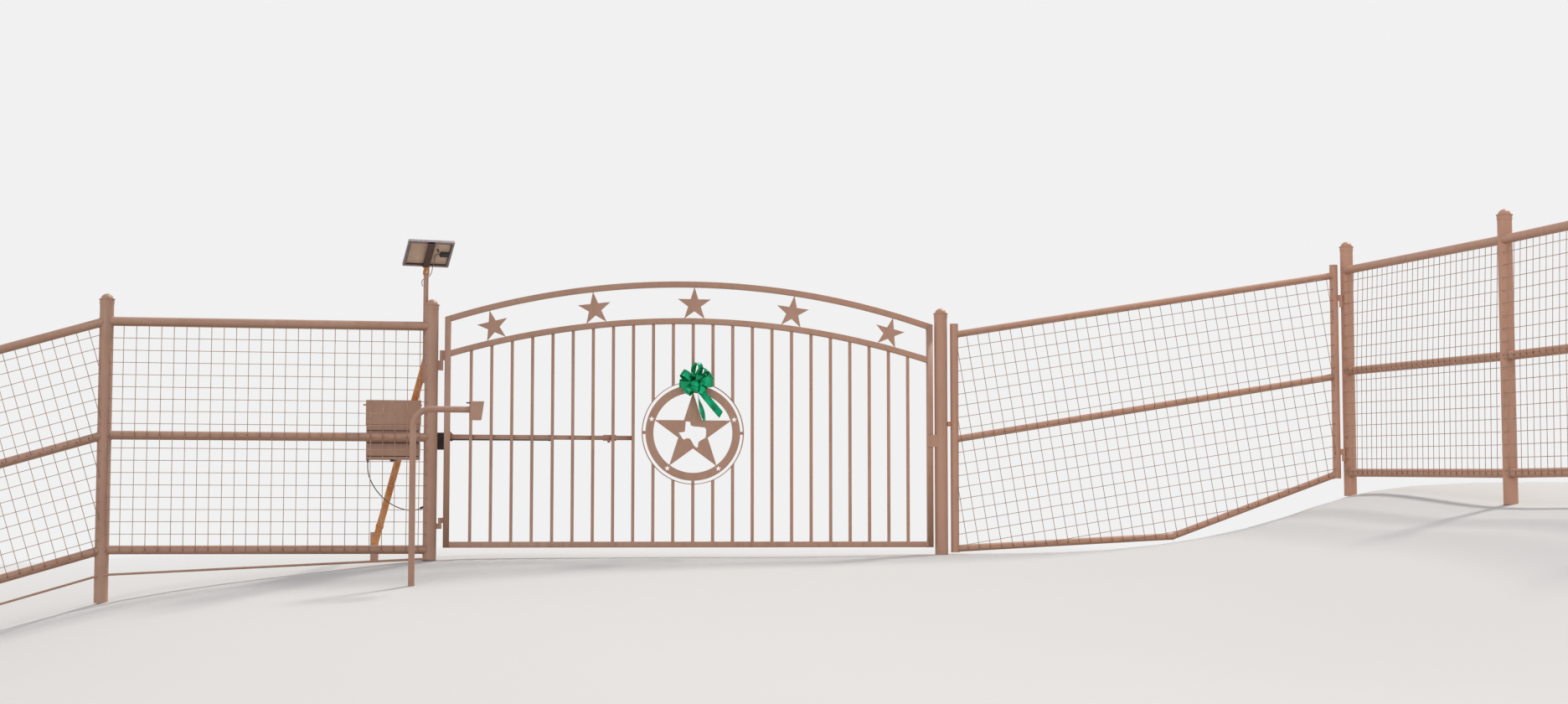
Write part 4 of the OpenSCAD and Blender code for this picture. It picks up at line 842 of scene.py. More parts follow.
def make_bay(name, span, heights, slope, to_frame, lower_phase, upper_phase, seed):
    """Both panels of a fence bay, and the tacks that hold their wires to the rails."""
    low, mid, top = heights
    first = -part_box("wing_mesh_lower")[1].y if name == "wing_mesh" else WIRE_EDGE
    lower, upper, lean = bay_outlines(span, low, mid, top, slope, first)

    def anchor(phase):
        return (phase[0], mid - phase[1] + slope * phase[0])

    def flat(x, depth, z):
        return to_frame(x, WIRE_Y + depth, z)

    def leaning(x, depth, z):
        rise = z - (mid + slope * x)
        y = WIRE_Y + depth * math.cos(lean) + rise * math.sin(lean)
        return to_frame(x, y, z - rise * (1 - math.cos(lean)))
    lines = wire_panel(name + "_lower", "fence", flat, lower, anchor(lower_phase), slope, seed)
    wire_panel(name + "_upper", "fence", leaning, upper, anchor(upper_phase), slope, seed + 1)
    tacks = Shape()
    rng = random.Random(seed + 2)
    for start, end in lines:
        for rail in (mid, low):
            x = start.x + (end.x - start.x) * 0.5
            for _ in range(3):
                t = ((rail + slope * x) - start.y) / (end.y - start.y)
                x = start.x + (end.x - start.x) * t
            if not -0.01 < t < 1.02:
                continue
            size = rng.uniform(*TACK_SIZES)
            z = rail + slope * x + rng.uniform(-2 * TACK_SHIFT, 2 * TACK_SHIFT)
            x += rng.uniform(-TACK_SHIFT, TACK_SHIFT)
            tacks.ball(to_frame(x, WIRE_Y + TACK_IN, z), size, TACK_SHAPE)
    tacks.build(name + "_tacks", "fence", "tack", "rusty_steel")


def front_bay(x0, z0):
    """Places a bay of the front fence, from its left post."""
    return lambda x, y, z: Vector((x + x0, y, z + z0))


def wing_bay(y0, z0):
    """Places a bay of the wing, from its far post."""
    return lambda x, y, z: Vector((CORNER_X + y, y0 - x, z + z0))


# Where two wires cross: distance along the bay, and depth below the middle rail's axis
LEFT_PHASE = (0.144, 0.005)
OUTER_LOWER_PHASE = (0.129, 0.010)
OUTER_UPPER_PHASE = (0.160, 0.005)
WING_PHASE = (0.104, -0.008)
SIDE_PHASE = (0.155, 0.018)

WING_Z = [RAIL_Z[2] - (2 - k) * WING_RAIL_GAP for k in range(3)]
BAYS = [
    ("outer_left_mesh", LEFT_SPAN, RAIL_Z, LEFT_FALL, front_bay(-2 * LEFT_SPAN, -OUTER_DROP),
     OUTER_LOWER_PHASE, OUTER_UPPER_PHASE),
    ("left_mesh", LEFT_SPAN, RAIL_Z, 0.0, front_bay(-LEFT_SPAN, 0), LEFT_PHASE, LEFT_PHASE),
    ("wing_mesh", WING_SPAN, WING_Z, -WING_FALL, wing_bay(0, WING_LIFT), WING_PHASE, WING_PHASE),
    ("wing_end_mesh", WING_SPAN, WING_Z, -WING_END_FALL,
     wing_bay(-WING_SPAN, WING_LIFT - WING_FALL * WING_SPAN), WING_PHASE, WING_PHASE),
]
for index, bay in enumerate(BAYS):
    make_bay(*bay, 10 * index + 1)


# Side gate mesh

side_low, side_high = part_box("side_gate_stiles")
SIDE_X0 = side_low.x + SIDE_STILE_R
SIDE_X1 = side_high.x - SIDE_STILE_R
SIDE_MID_Z = 1.053
SIDE_TOP_Z = 1.979
SIDE_BOTTOM_Z = 0.094
SIDE_BEND_X = 2.005
SIDE_BEND_Z = 0.200
SIDE_END_Z = 0.736
SIDE_FOOT_SLOPE = 0.0529
SIDE_RISE_SLOPE = 0.358
SIDE_WIRE_Y = -(SIDE_RAIL_R + WIRE_R)
SIDE_EDGE = 0.0236
SIDE_SEED = 71
SIDE_TACK_UP = 0.012
SIDE_TACK_DOWN = 0.004


def make_side_mesh():
    x0 = SIDE_X0 + SIDE_EDGE
    x1 = SIDE_X1 - SIDE_EDGE
    rise = SIDE_SLOPE * (x1 - x0)
    lift = SIDE_SLOPE * SIDE_EDGE
    under = SIDE_RAIL_R / 2
    anchor = (SIDE_X0 + SIDE_PHASE[0], SIDE_MID_Z - SIDE_PHASE[1] + SIDE_SLOPE * SIDE_PHASE[0])
    low = SIDE_MID_Z + PANEL_GAP + lift
    high = SIDE_TOP_Z - under + lift
    upper = [(x0, low), (x1, low + rise), (x1, high + rise), (x0, high)]
    high = SIDE_MID_Z - PANEL_GAP + lift
    lower = [(x0, SIDE_BOTTOM_Z - under), (SIDE_X0 + SIDE_BEND_X, SIDE_BEND_Z - under),
             (x1, SIDE_END_Z + under), (x1, high + rise), (x0, high)]

    def flat(x, depth, z):
        return Vector((x, SIDE_WIRE_Y + depth, z))
    wire_panel("side_mesh_upper", "side_gate", flat, upper, anchor, SIDE_SLOPE, SIDE_SEED)
    lines = wire_panel("side_mesh_lower", "side_gate", flat, lower, anchor, SIDE_SLOPE, SIDE_SEED + 1)
    tacks = Shape()
    rng = random.Random(SIDE_SEED + 2)
    for start, end in lines:
        for point in (start, end):
            z = point.y + (SIDE_TACK_UP if point is start else -SIDE_TACK_DOWN)
            tacks.ball((point.x + rng.uniform(-TACK_SHIFT, TACK_SHIFT), SIDE_WIRE_Y + SIDE_TACK_IN, z),
                       rng.uniform(*SIDE_TACK_SIZES), TACK_SHAPE)
    tacks.build("side_mesh_tacks", "side_gate", "tack", "rusty_steel")


make_side_mesh()


# Main leaf: rounded tubes in place of the sharp ones

CORNER_R = 0.0045
TENON = 0.006
ARCH_STEPS = 72
PICKET_CORNER_R = 0.0028
PICKET_SINK = 0.001
FRAME_SECTION = rounded_square(FRAME_TUBE, FRAME_TUBE, CORNER_R)
RAIL_SECTION = rounded_square(GATE_RAIL_W, GATE_RAIL_W, CORNER_R)
rail_low, rail_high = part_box("gate_middle_rail")
MIDDLE_RAIL_Y = (rail_low.y + rail_high.y) / 2


def arc_z(radius, centre_z, x):
    return centre_z + math.sqrt(radius ** 2 - (x - LEAF_MID_X) ** 2)


def make_leaf_tubes():
    half = FRAME_TUBE / 2

    def bar(name, path, section=FRAME_SECTION, tenon=TENON, look="paint"):
        shape = Shape()
        shape.profile(path, section, Vector((0, 1, 0)), tenon)
        shape.build(name + "_tube", "main_gate", look, "painted_steel", name)
    for name, radius, centre in (("gate_upper_arch", UPPER_ARCH_R, UPPER_ARCH_Z),
                                 ("gate_lower_arch", LOWER_ARCH_R, LOWER_ARCH_Z)):
        across = [INNER_X + (INNER_END_X - INNER_X) * k / ARCH_STEPS for k in range(ARCH_STEPS + 1)]
        bar(name, [Vector((x, 0, arc_z(radius - half, centre, x))) for x in across])
    bar("gate_bottom_rail", [Vector((x, 0, LEAF_Z + half)) for x in (INNER_X, INNER_END_X)], look="low_paint")
    shape = Shape()
    for middle in (LEAF_X + half, LEAF_X + LEAF_W - half):
        outline = [(middle + x, y) for x, y in FRAME_SECTION]
        shape.loft([[Vector((x, y, LEAF_Z)) for x, y in outline],
                    [Vector((x, y, arc_z(UPPER_ARCH_R, UPPER_ARCH_Z, x))) for x, y in outline]])
    shape.build("gate_stile_tubes", "main_gate", "paint", "painted_steel", "gate_stiles")
    bar("gate_middle_rail", [Vector((x, MIDDLE_RAIL_Y, GATE_RAIL_Z)) for x in (rail_low.x, rail_high.x)],
        RAIL_SECTION, 0)


def on_bottom_rail(_):
    return LEAF_Z + FRAME_TUBE


def under_lower_arch(x):
    return arc_z(LOWER_ARCH_R - FRAME_TUBE, LOWER_ARCH_Z, x)


def over_ring(x):
    return arc_z(RING_R, MEDAL_Z, x)


def under_ring(x):
    return 2 * MEDAL_Z - over_ring(x)


def picket_runs():
    """X of every straight stretch of picket, and the edges that its foot and head meet."""
    runs = []
    for k in range(1, PICKETS + 1):
        x = INNER_X + k * PICKET_PITCH
        if abs(x - LEAF_MID_X) < RING_R:
            runs += [(x, on_bottom_rail, under_ring), (x, over_ring, under_lower_arch)]
        else:
            runs.append((x, on_bottom_rail, under_lower_arch))
    return runs


def make_pickets():
    section = rounded_square(PICKET_W, PICKET_W, PICKET_CORNER_R, 2)
    shape = Shape()
    for x, foot, head in picket_runs():
        shape.loft([[Vector((x + px, py, edge(x + px) + sink)) for px, py in section]
                    for edge, sink in ((foot, -PICKET_SINK), (head, PICKET_SINK))], flat=True)
    shape.build("gate_picket_tubes", "main_gate", "paint", "painted_steel", "gate_pickets")


make_leaf_tubes()
make_pickets()


# Welds

BEAD_RIPPLE = 0.22
PICKET_BEAD_R = 0.0019
PICKET_BEAD_LIFT = 0.0006
MIDDLE_BEAD_R = 0.0028
FRAME_BEAD_R = 0.0026
FENCE_BEAD_R = 0.0036
SIDE_BEAD_R = 0.0034
BEAD_OUT = 0.0008
GUSSET = 0.032
GUSSET_T = 0.005


def bead(shape, loop, radius, seed):
    """A rippled weld bead around a loop."""
    shape.tube(loop, radius, 6, closed=True, scale=lambda i: 1.0 + BEAD_RIPPLE * math.sin(2.3 * i + seed))


def square_loop(x, edge, half, lift, steps=3):
    """Points around a square tube where it meets an edge."""
    corners = [(half, -half), (half, half), (-half, half), (-half, -half)]
    points = []
    for i in range(4):
        a, b = Vector(corners[i]), Vector(corners[(i + 1) % 4])
        for k in range(steps):
            p = a + (b - a) * k / steps
            points.append(Vector((x + p.x, p.y, edge(x + p.x) + lift)))
    return points


def section_loop(x, y, z, section):
    return [Vector((x, a + y, b + z)) for a, b in section]


def make_leaf_welds():
    shape = Shape()
    for x, foot, head in picket_runs():
        for edge, lift in ((foot, PICKET_BEAD_LIFT), (head, -PICKET_BEAD_LIFT)):
            bead(shape, square_loop(x, edge, PICKET_W / 2, lift), PICKET_BEAD_R, x)
    x, z = rail_low.x - 0.001, rail_high.z - 0.002
    shape.prism([(x, z), (rail_low.x + GUSSET, z), (x, z + GUSSET)], GUSSET_T,
                lambda x, d, z: Vector((x, MIDDLE_RAIL_Y + d, z)), 0.0006)
    bead(shape, section_loop(INNER_X + 0.0005, MIDDLE_RAIL_Y, GATE_RAIL_Z, RAIL_SECTION), MIDDLE_BEAD_R, 5)
    half = FRAME_TUBE / 2
    for x in (INNER_X, INNER_END_X):
        for radius, centre in ((UPPER_ARCH_R, UPPER_ARCH_Z), (LOWER_ARCH_R, LOWER_ARCH_Z)):
            z = arc_z(radius, centre, x) - half
            bead(shape, section_loop(x, 0, z, FRAME_SECTION), FRAME_BEAD_R, z)
        bead(shape, section_loop(x, 0, LEAF_Z + half, FRAME_SECTION), FRAME_BEAD_R, x)
    shape.build("picket_welds", "main_gate", "paint", "painted_steel")


make_leaf_welds()


def cope_points(rail_y, rail_r, post_r, slope, sign, steps=28):
    """Where a rail meets a round post, as offsets from the post's axis and the rail's height."""
    points = []
    for a, b in circle(rail_r + BEAD_OUT, steps):
        y = rail_y + a
        x = sign * math.sqrt((post_r + BEAD_OUT) ** 2 - y ** 2)
        points.append((x, y, slope * x + b * math.sqrt(1 + slope * slope)))
    return points


def make_rail_welds():
    shape = Shape()
    for _, span, heights, slope, place, _, _ in BAYS:
        for z in heights:
            for x, sign in ((0, 1), (span, -1)):
                loop = [place(x + px, py, z + slope * x + pz)
                        for px, py, pz in cope_points(RAIL_Y, RAIL_R, POST_R, slope, sign)]
                bead(shape, loop, FENCE_BEAD_R, z + x)
    shape.build("fence_rail_welds", "fence", "paint", "painted_steel")
    shape = Shape()
    rise = SIDE_SLOPE * (SIDE_X1 - SIDE_X0)
    ends = [(SIDE_X0, SIDE_TOP_Z, SIDE_SLOPE, 1), (SIDE_X1, SIDE_TOP_Z + rise, SIDE_SLOPE, -1),
            (SIDE_X0, SIDE_MID_Z, SIDE_SLOPE, 1), (SIDE_X1, SIDE_MID_Z + rise, SIDE_SLOPE, -1),
            (SIDE_X0, SIDE_BOTTOM_Z, SIDE_FOOT_SLOPE, 1),
            (SIDE_X1, SIDE_END_Z + SIDE_RAIL_R, SIDE_RISE_SLOPE, -1)]
    for x, z, slope, sign in ends:
        points = cope_points(0, SIDE_RAIL_R, SIDE_STILE_R, slope, sign)
        bead(shape, [Vector((x + px, py, z + pz)) for px, py, pz in points], SIDE_BEAD_R, z)
    shape.build("side_rail_welds", "side_gate", "paint", "painted_steel")


make_rail_welds()


# Ribbon bow: loops of one flat ribbon gathered at a knot, and two tails

BOW_KNOT = Vector((LEAF_MID_X + 0.009, -0.060, 1.513))
RIBBON_W = 0.064
RIBBON_COLS = 8
PLEAT = 0.010
CROWN = 0.004
KNOT_WIDTH = 0.35
LOOP_PINCH = 0.25
TAIL_PINCH = 0.22

# Angle in the picture, lean toward the front, roll about its own line, length and fatness of each loop
LOOPS = [
    (84, 8, 40, 0.185, 0.050), (60, 12, 50, 0.160, 0.044), (30, 20, 30, 0.165, 0.050),
    (4, 6, 16, 0.155, 0.046), (141, 16, 14, 0.160, 0.046), (180, 4, -24, 0.140, 0.042),
    (226, 16, 30, 0.122, 0.042), (205, 78, 8, 0.052, 0.040), (-38, 12, 24, 0.110, 0.038),
    (110, 34, 60, 0.105, 0.036), (18, 40, 66, 0.085, 0.036), (256, 34, 4, 0.078, 0.032),
    (72, 40, 24, 0.100, 0.036),
]
# Tip's place from the medallion's middle, twist, wave and slanted cut of each tail
TAILS = [(0.092, -0.052, 0.103, 1.42, 0.006, 0.004), (0.236, -0.050, 0.155, 0.30, 0.010, 0.020)]


def finish_ribbon(name, rows, slant=0.0, stands_for=None):
    """A ribbon along rows of a point, the way across, the way out and a width share. It is
    drawn in to pleats where its share is under 1, and its end is cut at a slant."""
    path = [row[0] for row in rows]
    last = len(path) - 1
    points = []
    for i, (point, side, normal, keep) in enumerate(rows):
        ahead = (path[min(i + 1, last)] - path[max(i - 1, 0)]).normalized()
        cut = slant * max(0.0, 1 - (last - i) / 3)
        for c in range(RIBBON_COLS + 1):
            u = c / RIBBON_COLS - 0.5
            fold = PLEAT * (1 - keep) * math.sin(6 * math.pi * u) + CROWN * keep * math.cos(math.pi * u)
            points.append(point + side * RIBBON_W * keep * u + normal * fold + ahead * cut * u)
    shape = Shape()
    shape.add(points, grid_faces(len(path), RIBBON_COLS + 1))
    piece = shape.build(name, "main_gate", "ribbon", "ribbon", stands_for)


def pinched(share):
    """Width share of the ribbon: the least at the knot, and whole at a share of 1."""
    return KNOT_WIDTH + (1 - KNOT_WIDTH) * share


def make_loop(angle, lean, roll, length, fat, steps=32):
    out = Vector((math.cos(angle) * math.cos(lean), -math.sin(lean), math.sin(angle) * math.cos(lean)))
    flat_side = Vector((-math.sin(angle), 0, math.cos(angle)))
    deep = out.cross(flat_side)
    side = flat_side * math.cos(roll) + deep * math.sin(roll)
    swell = deep * math.cos(roll) - flat_side * math.sin(roll)
    rows = []
    for k in range(steps + 1):
        t = k / steps
        a = math.pi * t
        point = BOW_KNOT + out * length * math.sin(a) ** 1.6
        point += swell * fat * math.sin(2 * a) * math.sin(a) ** 0.7
        near = min(1, min(t, 1 - t) / LOOP_PINCH)
        rows.append((point, side, swell if t < 0.5 else -swell, pinched(near * near * (3 - 2 * near))))
    return rows


def make_tail(tip, twist, wave, steps=26):
    run = tip - BOW_KNOT
    flat_side = Vector((run.z, 0, -run.x)).normalized()
    front = Vector((0, -1, 0))
    rows = []
    for k in range(steps + 1):
        t = k / steps
        point = BOW_KNOT + run * t - front * wave * math.sin(1.5 * math.pi * t)
        turn = twist * (0.75 + 0.25 * math.sin(2 * math.pi * t))
        rows.append((point, flat_side * math.cos(turn) + front * math.sin(turn),
                     front * math.cos(turn) - flat_side * math.sin(turn), pinched(min(1, t / TAIL_PINCH))))
    return rows


def make_bow():
    for number, (angle, lean, roll, length, fat) in enumerate(LOOPS, 1):
        loop = make_loop(math.radians(angle), math.radians(lean), math.radians(roll), length, fat)
        finish_ribbon(f"bow_loop_{number}", loop, stands_for="ribbon_bow" if number == 1 else None)
    for number, (x, y, z, twist, wave, slant) in enumerate(TAILS, 1):
        tail = make_tail(Vector((LEAF_MID_X + x, y, MEDAL_Z + z)), twist, wave)
        finish_ribbon(f"bow_tail_{number}", tail, slant)


make_bow()


# Control box: its seams with painted shade in them, screws, hood's hem and latch

SEAMS = [(0.872, 0.880), (0.985, 0.993), (1.089, 1.096)]
SEAM_DEEP = 0.005
SEAM_EDGE = 0.0006
BOX_CORNER_R = 0.004
BOX_FOOT_BEVEL = 0.002
LATCH_BEVEL = 0.007
LATCH_LIP_IN = (0.010, 0.004)
HEM_OUT = 0.004
HEM_R = 0.0022
BOX_SCREW_ZS = (0.862, 1.104)
BOX_SCREW_IN = 0.03
BOX_SCREW_R = 0.0042
SCREW_SINK = 0.0005


def make_box_details():
    low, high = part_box("control_box")
    middle = (low + high) / 2

    def ring(z, inset):
        outline = rounded_square(high.x - low.x - 2 * inset, high.y - low.y - 2 * inset, BOX_CORNER_R, 2)
        return [Vector((middle.x + x, middle.y + y, z)) for x, y in outline]
    rings = [ring(low.z, BOX_FOOT_BEVEL), ring(low.z + BOX_FOOT_BEVEL, 0)]
    gaps = Shape()
    for foot, head in SEAMS:
        rings += [ring(z, inset) for z, inset in (
            (foot, 0), (foot + SEAM_EDGE, SEAM_DEEP), (head - SEAM_EDGE, SEAM_DEEP), (head, 0))]
        # A black band at the floor of each seam groove: painted shade in the recess
        gaps.loft([ring(foot + 0.001, SEAM_DEEP - 0.001), ring(head - 0.001, SEAM_DEEP - 0.001)], flat=True)
    rings.append(ring(high.z, 0))
    shape = Shape()
    shape.loft(rings, flat=True)
    shape.build("control_box_body", "fence", "paint", "painted_steel", "control_box")
    gaps.build("control_box_seam_shade", "fence", "black", "black_plastic")
    hem = Shape()
    half = (high - low) / 2
    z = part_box("control_box_hood")[0].z + 0.002
    hem.tube([Vector((middle.x + sx * (half.x + HEM_OUT), middle.y + sy * (half.y + HEM_OUT), z))
              for sx, sy in CORNERS], HEM_R, closed=True)
    hem.build("control_box_hem", "fence", "paint", "painted_steel")
    screws = Shape()
    for x in (low.x + BOX_SCREW_IN, middle.x, high.x - BOX_SCREW_IN):
        for y, out in ((low.y, -1), (high.y, 1)):
            for z in BOX_SCREW_ZS:
                screws.bolt((x, y - out * SCREW_SINK, z), (0, out, 0), BOX_SCREW_R)
    screws.build("control_box_screws", "fence", "zinc", "bare_steel")
    latch_low, latch_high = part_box("control_box_latch")
    latch = Shape()
    latch.block(latch_low, latch_high, LATCH_BEVEL)
    x, y = LATCH_LIP_IN
    latch.block((latch_low.x + x, latch_low.y + y, latch_low.z - 0.001),
                (latch_high.x - x, latch_high.y - y, latch_low.z + 0.004), 0.001)
    latch.build("control_box_catch", "fence", "black", "black_plastic", "control_box_latch")


make_box_details()


# Operator: moulded motor housing, tube's collars and the rod's wiper

OPERATOR_PIVOT = Vector((-0.020, 0.220, GATE_RAIL_Z))
OPERATOR_END = Vector((1.527, 0.100, GATE_RAIL_Z))
OPERATOR_AXIS = (OPERATOR_END - OPERATOR_PIVOT).normalized()
OPERATOR_SIDE = Vector((0, 0, 1)).cross(OPERATOR_AXIS)
MOTOR_X = (0.055, 0.190)
MOTOR_Z = (-0.105, 0.041)
MOTOR_HALF_W = 0.048
MOTOR_CORNER_R = 0.014
MOTOR_SCREW_XS = (0.068, 0.174)
MOTOR_SCREW_IN = 0.016
MOTOR_SCREW_R = 0.0036
GROOVE_XS = (0.080, 0.148)
GROOVE = [(0, 0), (0.0008, 0.0025), (0.0042, 0.0025), (0.005, 0)]
ARM_X = (0.016, 0.058)
ARM_SECTION = rounded_square(0.028, 0.024, 0.004, 2)
EYE_R = 0.022
EYE_BORE_R = 0.0095
EYE_HALF_T = 0.012
TUBE_R = 0.025


def on_operator(x, y, z):
    return OPERATOR_PIVOT + OPERATOR_AXIS * x + OPERATOR_SIDE * y + Vector((0, 0, z))


def operator_ring(x, radius):
    return [on_operator(x, a, b) for a, b in circle(radius, 32)]


def make_operator_details():
    shape = Shape()
    middle = sum(MOTOR_Z) / 2
    tall = MOTOR_Z[1] - MOTOR_Z[0]

    def section(x, inset):
        outline = rounded_square(2 * (MOTOR_HALF_W - inset), tall - 2 * inset, MOTOR_CORNER_R, 4)
        return [on_operator(x, y, middle + z) for y, z in outline]
    rings = [section(MOTOR_X[0], 0.006), section(MOTOR_X[0] + 0.002, 0.002), section(MOTOR_X[0] + 0.006, 0)]
    for x in GROOVE_XS:
        rings += [section(x + along, inset) for along, inset in GROOVE]
    rings += [section(MOTOR_X[1] - 0.008, 0), section(MOTOR_X[1] - 0.002, 0.003), section(MOTOR_X[1], 0.008)]
    shape.loft(rings, flat=True)
    shape.loft([[on_operator(x, y, z) for y, z in ARM_SECTION] for x in ARM_X], flat=True)
    shape.loft([[on_operator(a, b, sign * EYE_HALF_T) for a, b in circle(r, 24)]
                for r, sign in ((EYE_BORE_R, -1), (EYE_R, -1), (EYE_R, 1), (EYE_BORE_R, 1))], closed=True)
    shape.build("operator_motor_housing", "operator_tube_body", "black", "black_plastic", "operator_motor")
    screws = Shape()
    for x in MOTOR_SCREW_XS:
        for z in (MOTOR_Z[0] + MOTOR_SCREW_IN, MOTOR_Z[1] - MOTOR_SCREW_IN):
            for side in (-1, 1):
                at = on_operator(x, side * (MOTOR_HALF_W - SCREW_SINK), z)
                screws.bolt(at, OPERATOR_SIDE * side, MOTOR_SCREW_R)
    screws.build("operator_motor_screws", "operator_tube_body", "zinc", "bare_steel")
    tube_l = (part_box("operator_tube")[1].x - OPERATOR_PIVOT.x) / OPERATOR_AXIS.x
    collars = Shape()
    for start, end, out in ((MOTOR_X[1] - 0.001, 0.218, 0.006), (tube_l - 0.030, tube_l - 0.003, 0.0022)):
        collars.loft([operator_ring(x, TUBE_R + grow) for x, grow in (
            (start, 0.0002), (start + 0.001, out), (end - 0.001, out), (end, 0.0002))])
    collars.build("operator_tube_collars", "operator_tube_body", "black_paint", "black_paint")


make_operator_details()


# Keypad: face's bezel and screws, and the housing's rear pin

BEZEL_IN = 0.003
BEZEL_R = 0.0026
KEYPAD_SCREW_IN = 0.011
KEYPAD_SCREW_R = 0.003
# Start and end behind the housing's back, radius and sides of the pin and its nut
PIN = [(-0.030, 0.002, 0.0055, 12), (-0.006, 0.001, 0.0085, 6)]
PIN_ASIDE = 0.045
PIN_DOWN = 0.0125


def make_keypad_details():
    low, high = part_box("keypad_housing")
    face_low, face_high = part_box("keypad_panel")
    middle = (face_low + face_high) / 2
    half = (face_high - face_low) / 2

    def corners(x, inset):
        return [Vector((x, middle.y + sy * (half.y - inset), middle.z + sz * (half.z - inset)))
                for sy, sz in CORNERS]
    shape = Shape()
    shape.tube(corners(middle.x + 0.001, BEZEL_IN), BEZEL_R, closed=True)
    for start, end, radius, sides in PIN:
        shape.tube([Vector((low.x + x, middle.y - PIN_ASIDE, high.z - PIN_DOWN)) for x in (start, end)],
                   radius, sides)
    shape.build("keypad_trim", "fence", "black", "black_plastic")
    screws = Shape()
    for corner in corners(middle.x, KEYPAD_SCREW_IN):
        screws.bolt(corner, (1, 0, 0), KEYPAD_SCREW_R)
    screws.build("keypad_screws", "fence", "zinc", "bare_steel")


make_keypad_details()


# Solar panel: cells, frame lips and channel in painted shade, sleeve, bolt and connector

PANEL_AT = Vector((-0.0354, -0.0399, 2.598))
PANEL_HEADING = math.radians(12)
PANEL_TURN = Matrix.Rotation(PANEL_HEADING, 3, "Z") @ Matrix.Rotation(math.radians(-40), 3, "X")
PANEL_W = 0.396
PANEL_L = 0.290
PANEL_FRAME_W = 0.018
SHEET_BACK = 0.0045
SHEET_FRONT = 0.0105
CHANNEL = [(-0.027, -0.0127), (-0.024, -0.0127), (-0.024, -0.0315), (0.024, -0.0315),
           (0.024, -0.0127), (0.027, -0.0127), (0.027, -0.0345), (-0.027, -0.0345)]
SLEEVE_AT = Vector((-0.0504, 0.0601))
SLEEVE_LOW = 2.427
SLEEVE_HALF = 0.023
SLEEVE_CORNER_R = 0.003
SLEEVE_BOLT_UP = 0.020
SLEEVE_BOLT_R = 0.0068
SLEEVE_WASHER_R = 0.0095
CHANNEL_IN = 0.008
CHANNEL_UNDER = -0.033
CELL_COLS = 9
CELL_ROWS = 4
CELL_GAP = 0.0012
BUS_BAR_X = 0.008
BUS_BAR_HALF_W = 0.0006
BUS_BAR_IN = 0.003
LIP_SINK = 0.001
LIP_W = 0.004
LIP_BACK = -0.0120
JUNCTION_BLOCKS = [((0.100, -0.022, -0.0115), (0.178, 0.026, SHEET_BACK)),
                   ((0.103, -0.019, -0.0175), (0.175, 0.023, -0.0110))]
JUNCTION_BEVEL = 0.002
PLUG_ROUTE = [(0.068, -0.056, -0.0015), (0.073, -0.044, -0.0015), (0.081, -0.024, -0.0015)]
PLUG_R = 0.0062


def on_panel(x, y, z):
    return PANEL_AT + PANEL_TURN @ Vector((x, y, z))


def panel_block(shape, low, high, bevel=0.0):
    before = len(shape.points)
    shape.block(low, high, bevel)
    shape.points[before:] = [on_panel(*p) for p in shape.points[before:]]


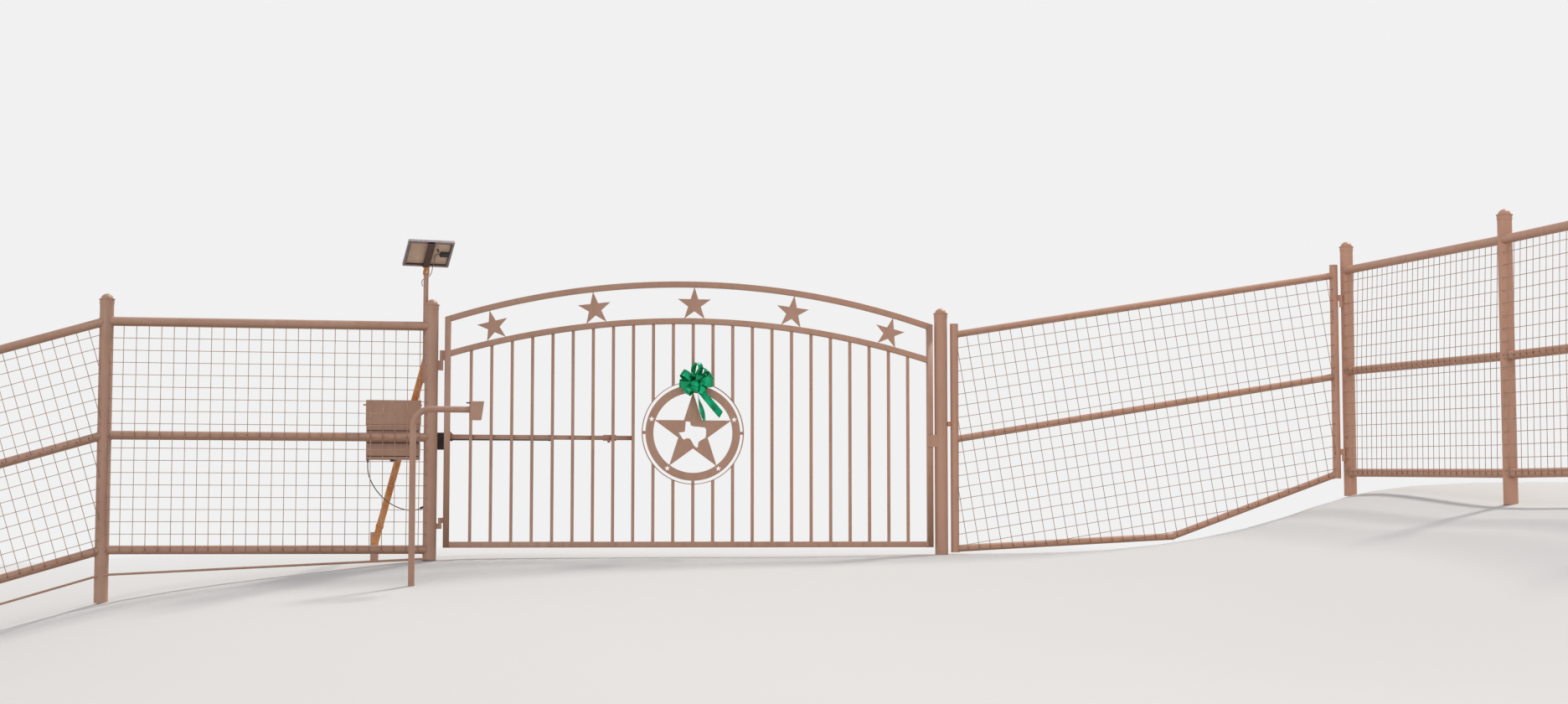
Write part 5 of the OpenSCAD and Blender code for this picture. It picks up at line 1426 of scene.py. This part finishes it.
def make_panel_details():
    inner_w, inner_l = PANEL_W / 2 - PANEL_FRAME_W, PANEL_L / 2 - PANEL_FRAME_W
    cells, bars = Shape(), Shape()
    cell_w, cell_l = 2 * inner_w / CELL_COLS, 2 * inner_l / CELL_ROWS
    half_w, half_l = cell_w / 2 - CELL_GAP, cell_l / 2 - CELL_GAP
    for i in range(CELL_COLS):
        x = -inner_w + (i + 0.5) * cell_w
        for j in range(CELL_ROWS):
            y = -inner_l + (j + 0.5) * cell_l
            panel_block(cells, (x - half_w, y - half_l, SHEET_FRONT - 0.0002),
                        (x + half_w, y + half_l, SHEET_FRONT + 0.0005))
        for shift in (-BUS_BAR_X, BUS_BAR_X):
            panel_block(bars, (x + shift - BUS_BAR_HALF_W, BUS_BAR_IN - inner_l, SHEET_FRONT + 0.0003),
                        (x + shift + BUS_BAR_HALF_W, inner_l - BUS_BAR_IN, SHEET_FRONT + 0.0008))
    cells.build("solar_cells", "fence", "cells", "panel_sheet")
    bars.build("solar_bus_bars", "fence", "bright_bolt", "panel_frame")
    # Dark strips at the frame's inner edges: painted shade where the frame meets the back sheet
    lips = Shape()
    out_w, out_l, in_w, in_l = inner_w + LIP_SINK, inner_l + LIP_SINK, inner_w - LIP_W, inner_l - LIP_W
    for low, high in (((-out_w, -out_l), (out_w, -in_l)), ((-out_w, in_l), (out_w, out_l)),
                      ((-out_w, -inner_l), (-in_w, inner_l)), ((in_w, -inner_l), (out_w, inner_l))):
        panel_block(lips, (*low, LIP_BACK), (*high, SHEET_BACK + 0.0002))
    lips.build("solar_frame_lip_shade", "fence", "channel", "panel_frame")
    # The channel on the panel's back is near-black: painted shade on a steel channel
    shape = Shape()
    reach = PANEL_L / 2 - CHANNEL_IN
    shape.loft([[on_panel(x, y, z) for x, z in CHANNEL] for y in (-reach, reach)], flat=True)
    shape.build("solar_channel", "fence", "channel", "rusty_steel", "solar_bracket")
    normal = PANEL_TURN @ Vector((0, 0, 1))
    under = on_panel(0, 0, CHANNEL_UNDER)
    turn = Matrix.Rotation(PANEL_HEADING, 2)
    foot, head = [], []
    for p in rounded_square(2 * SLEEVE_HALF, 2 * SLEEVE_HALF, SLEEVE_CORNER_R, 2):
        x, y = SLEEVE_AT + turn @ Vector(p)
        foot.append(Vector((x, y, SLEEVE_LOW)))
        drop = (normal.x * (x - under.x) + normal.y * (y - under.y)) / normal.z
        head.append(Vector((x, y, under.z - drop)))
    sleeve = Shape()
    sleeve.loft([foot, head], flat=True)
    sleeve.build("solar_sleeve", "fence", "rust", "rusty_steel", "solar_bracket")
    front = turn @ Vector((0, -1))
    at = SLEEVE_AT + front * (SLEEVE_HALF - SCREW_SINK)
    bolt = Shape()
    at = (at.x, at.y, SLEEVE_LOW + SLEEVE_BOLT_UP)
    bolt.bolt(at, (front.x, front.y, 0), SLEEVE_BOLT_R, SLEEVE_WASHER_R)
    bolt.build("solar_bolt", "fence", "bright_bolt", "bare_steel")
    junction = Shape()
    for low, high in JUNCTION_BLOCKS:
        panel_block(junction, low, high, JUNCTION_BEVEL)
    junction.build("solar_junction_case", "fence", "black", "black_plastic", "solar_junction_box")
    plug = Shape()
    plug.tube([on_panel(*point) for point in PLUG_ROUTE], PLUG_R, 12, scale=lambda i: (0.7, 1.0, 0.8)[i])
    plug.build("solar_connector", "fence", "black", "black_plastic")


make_panel_details()
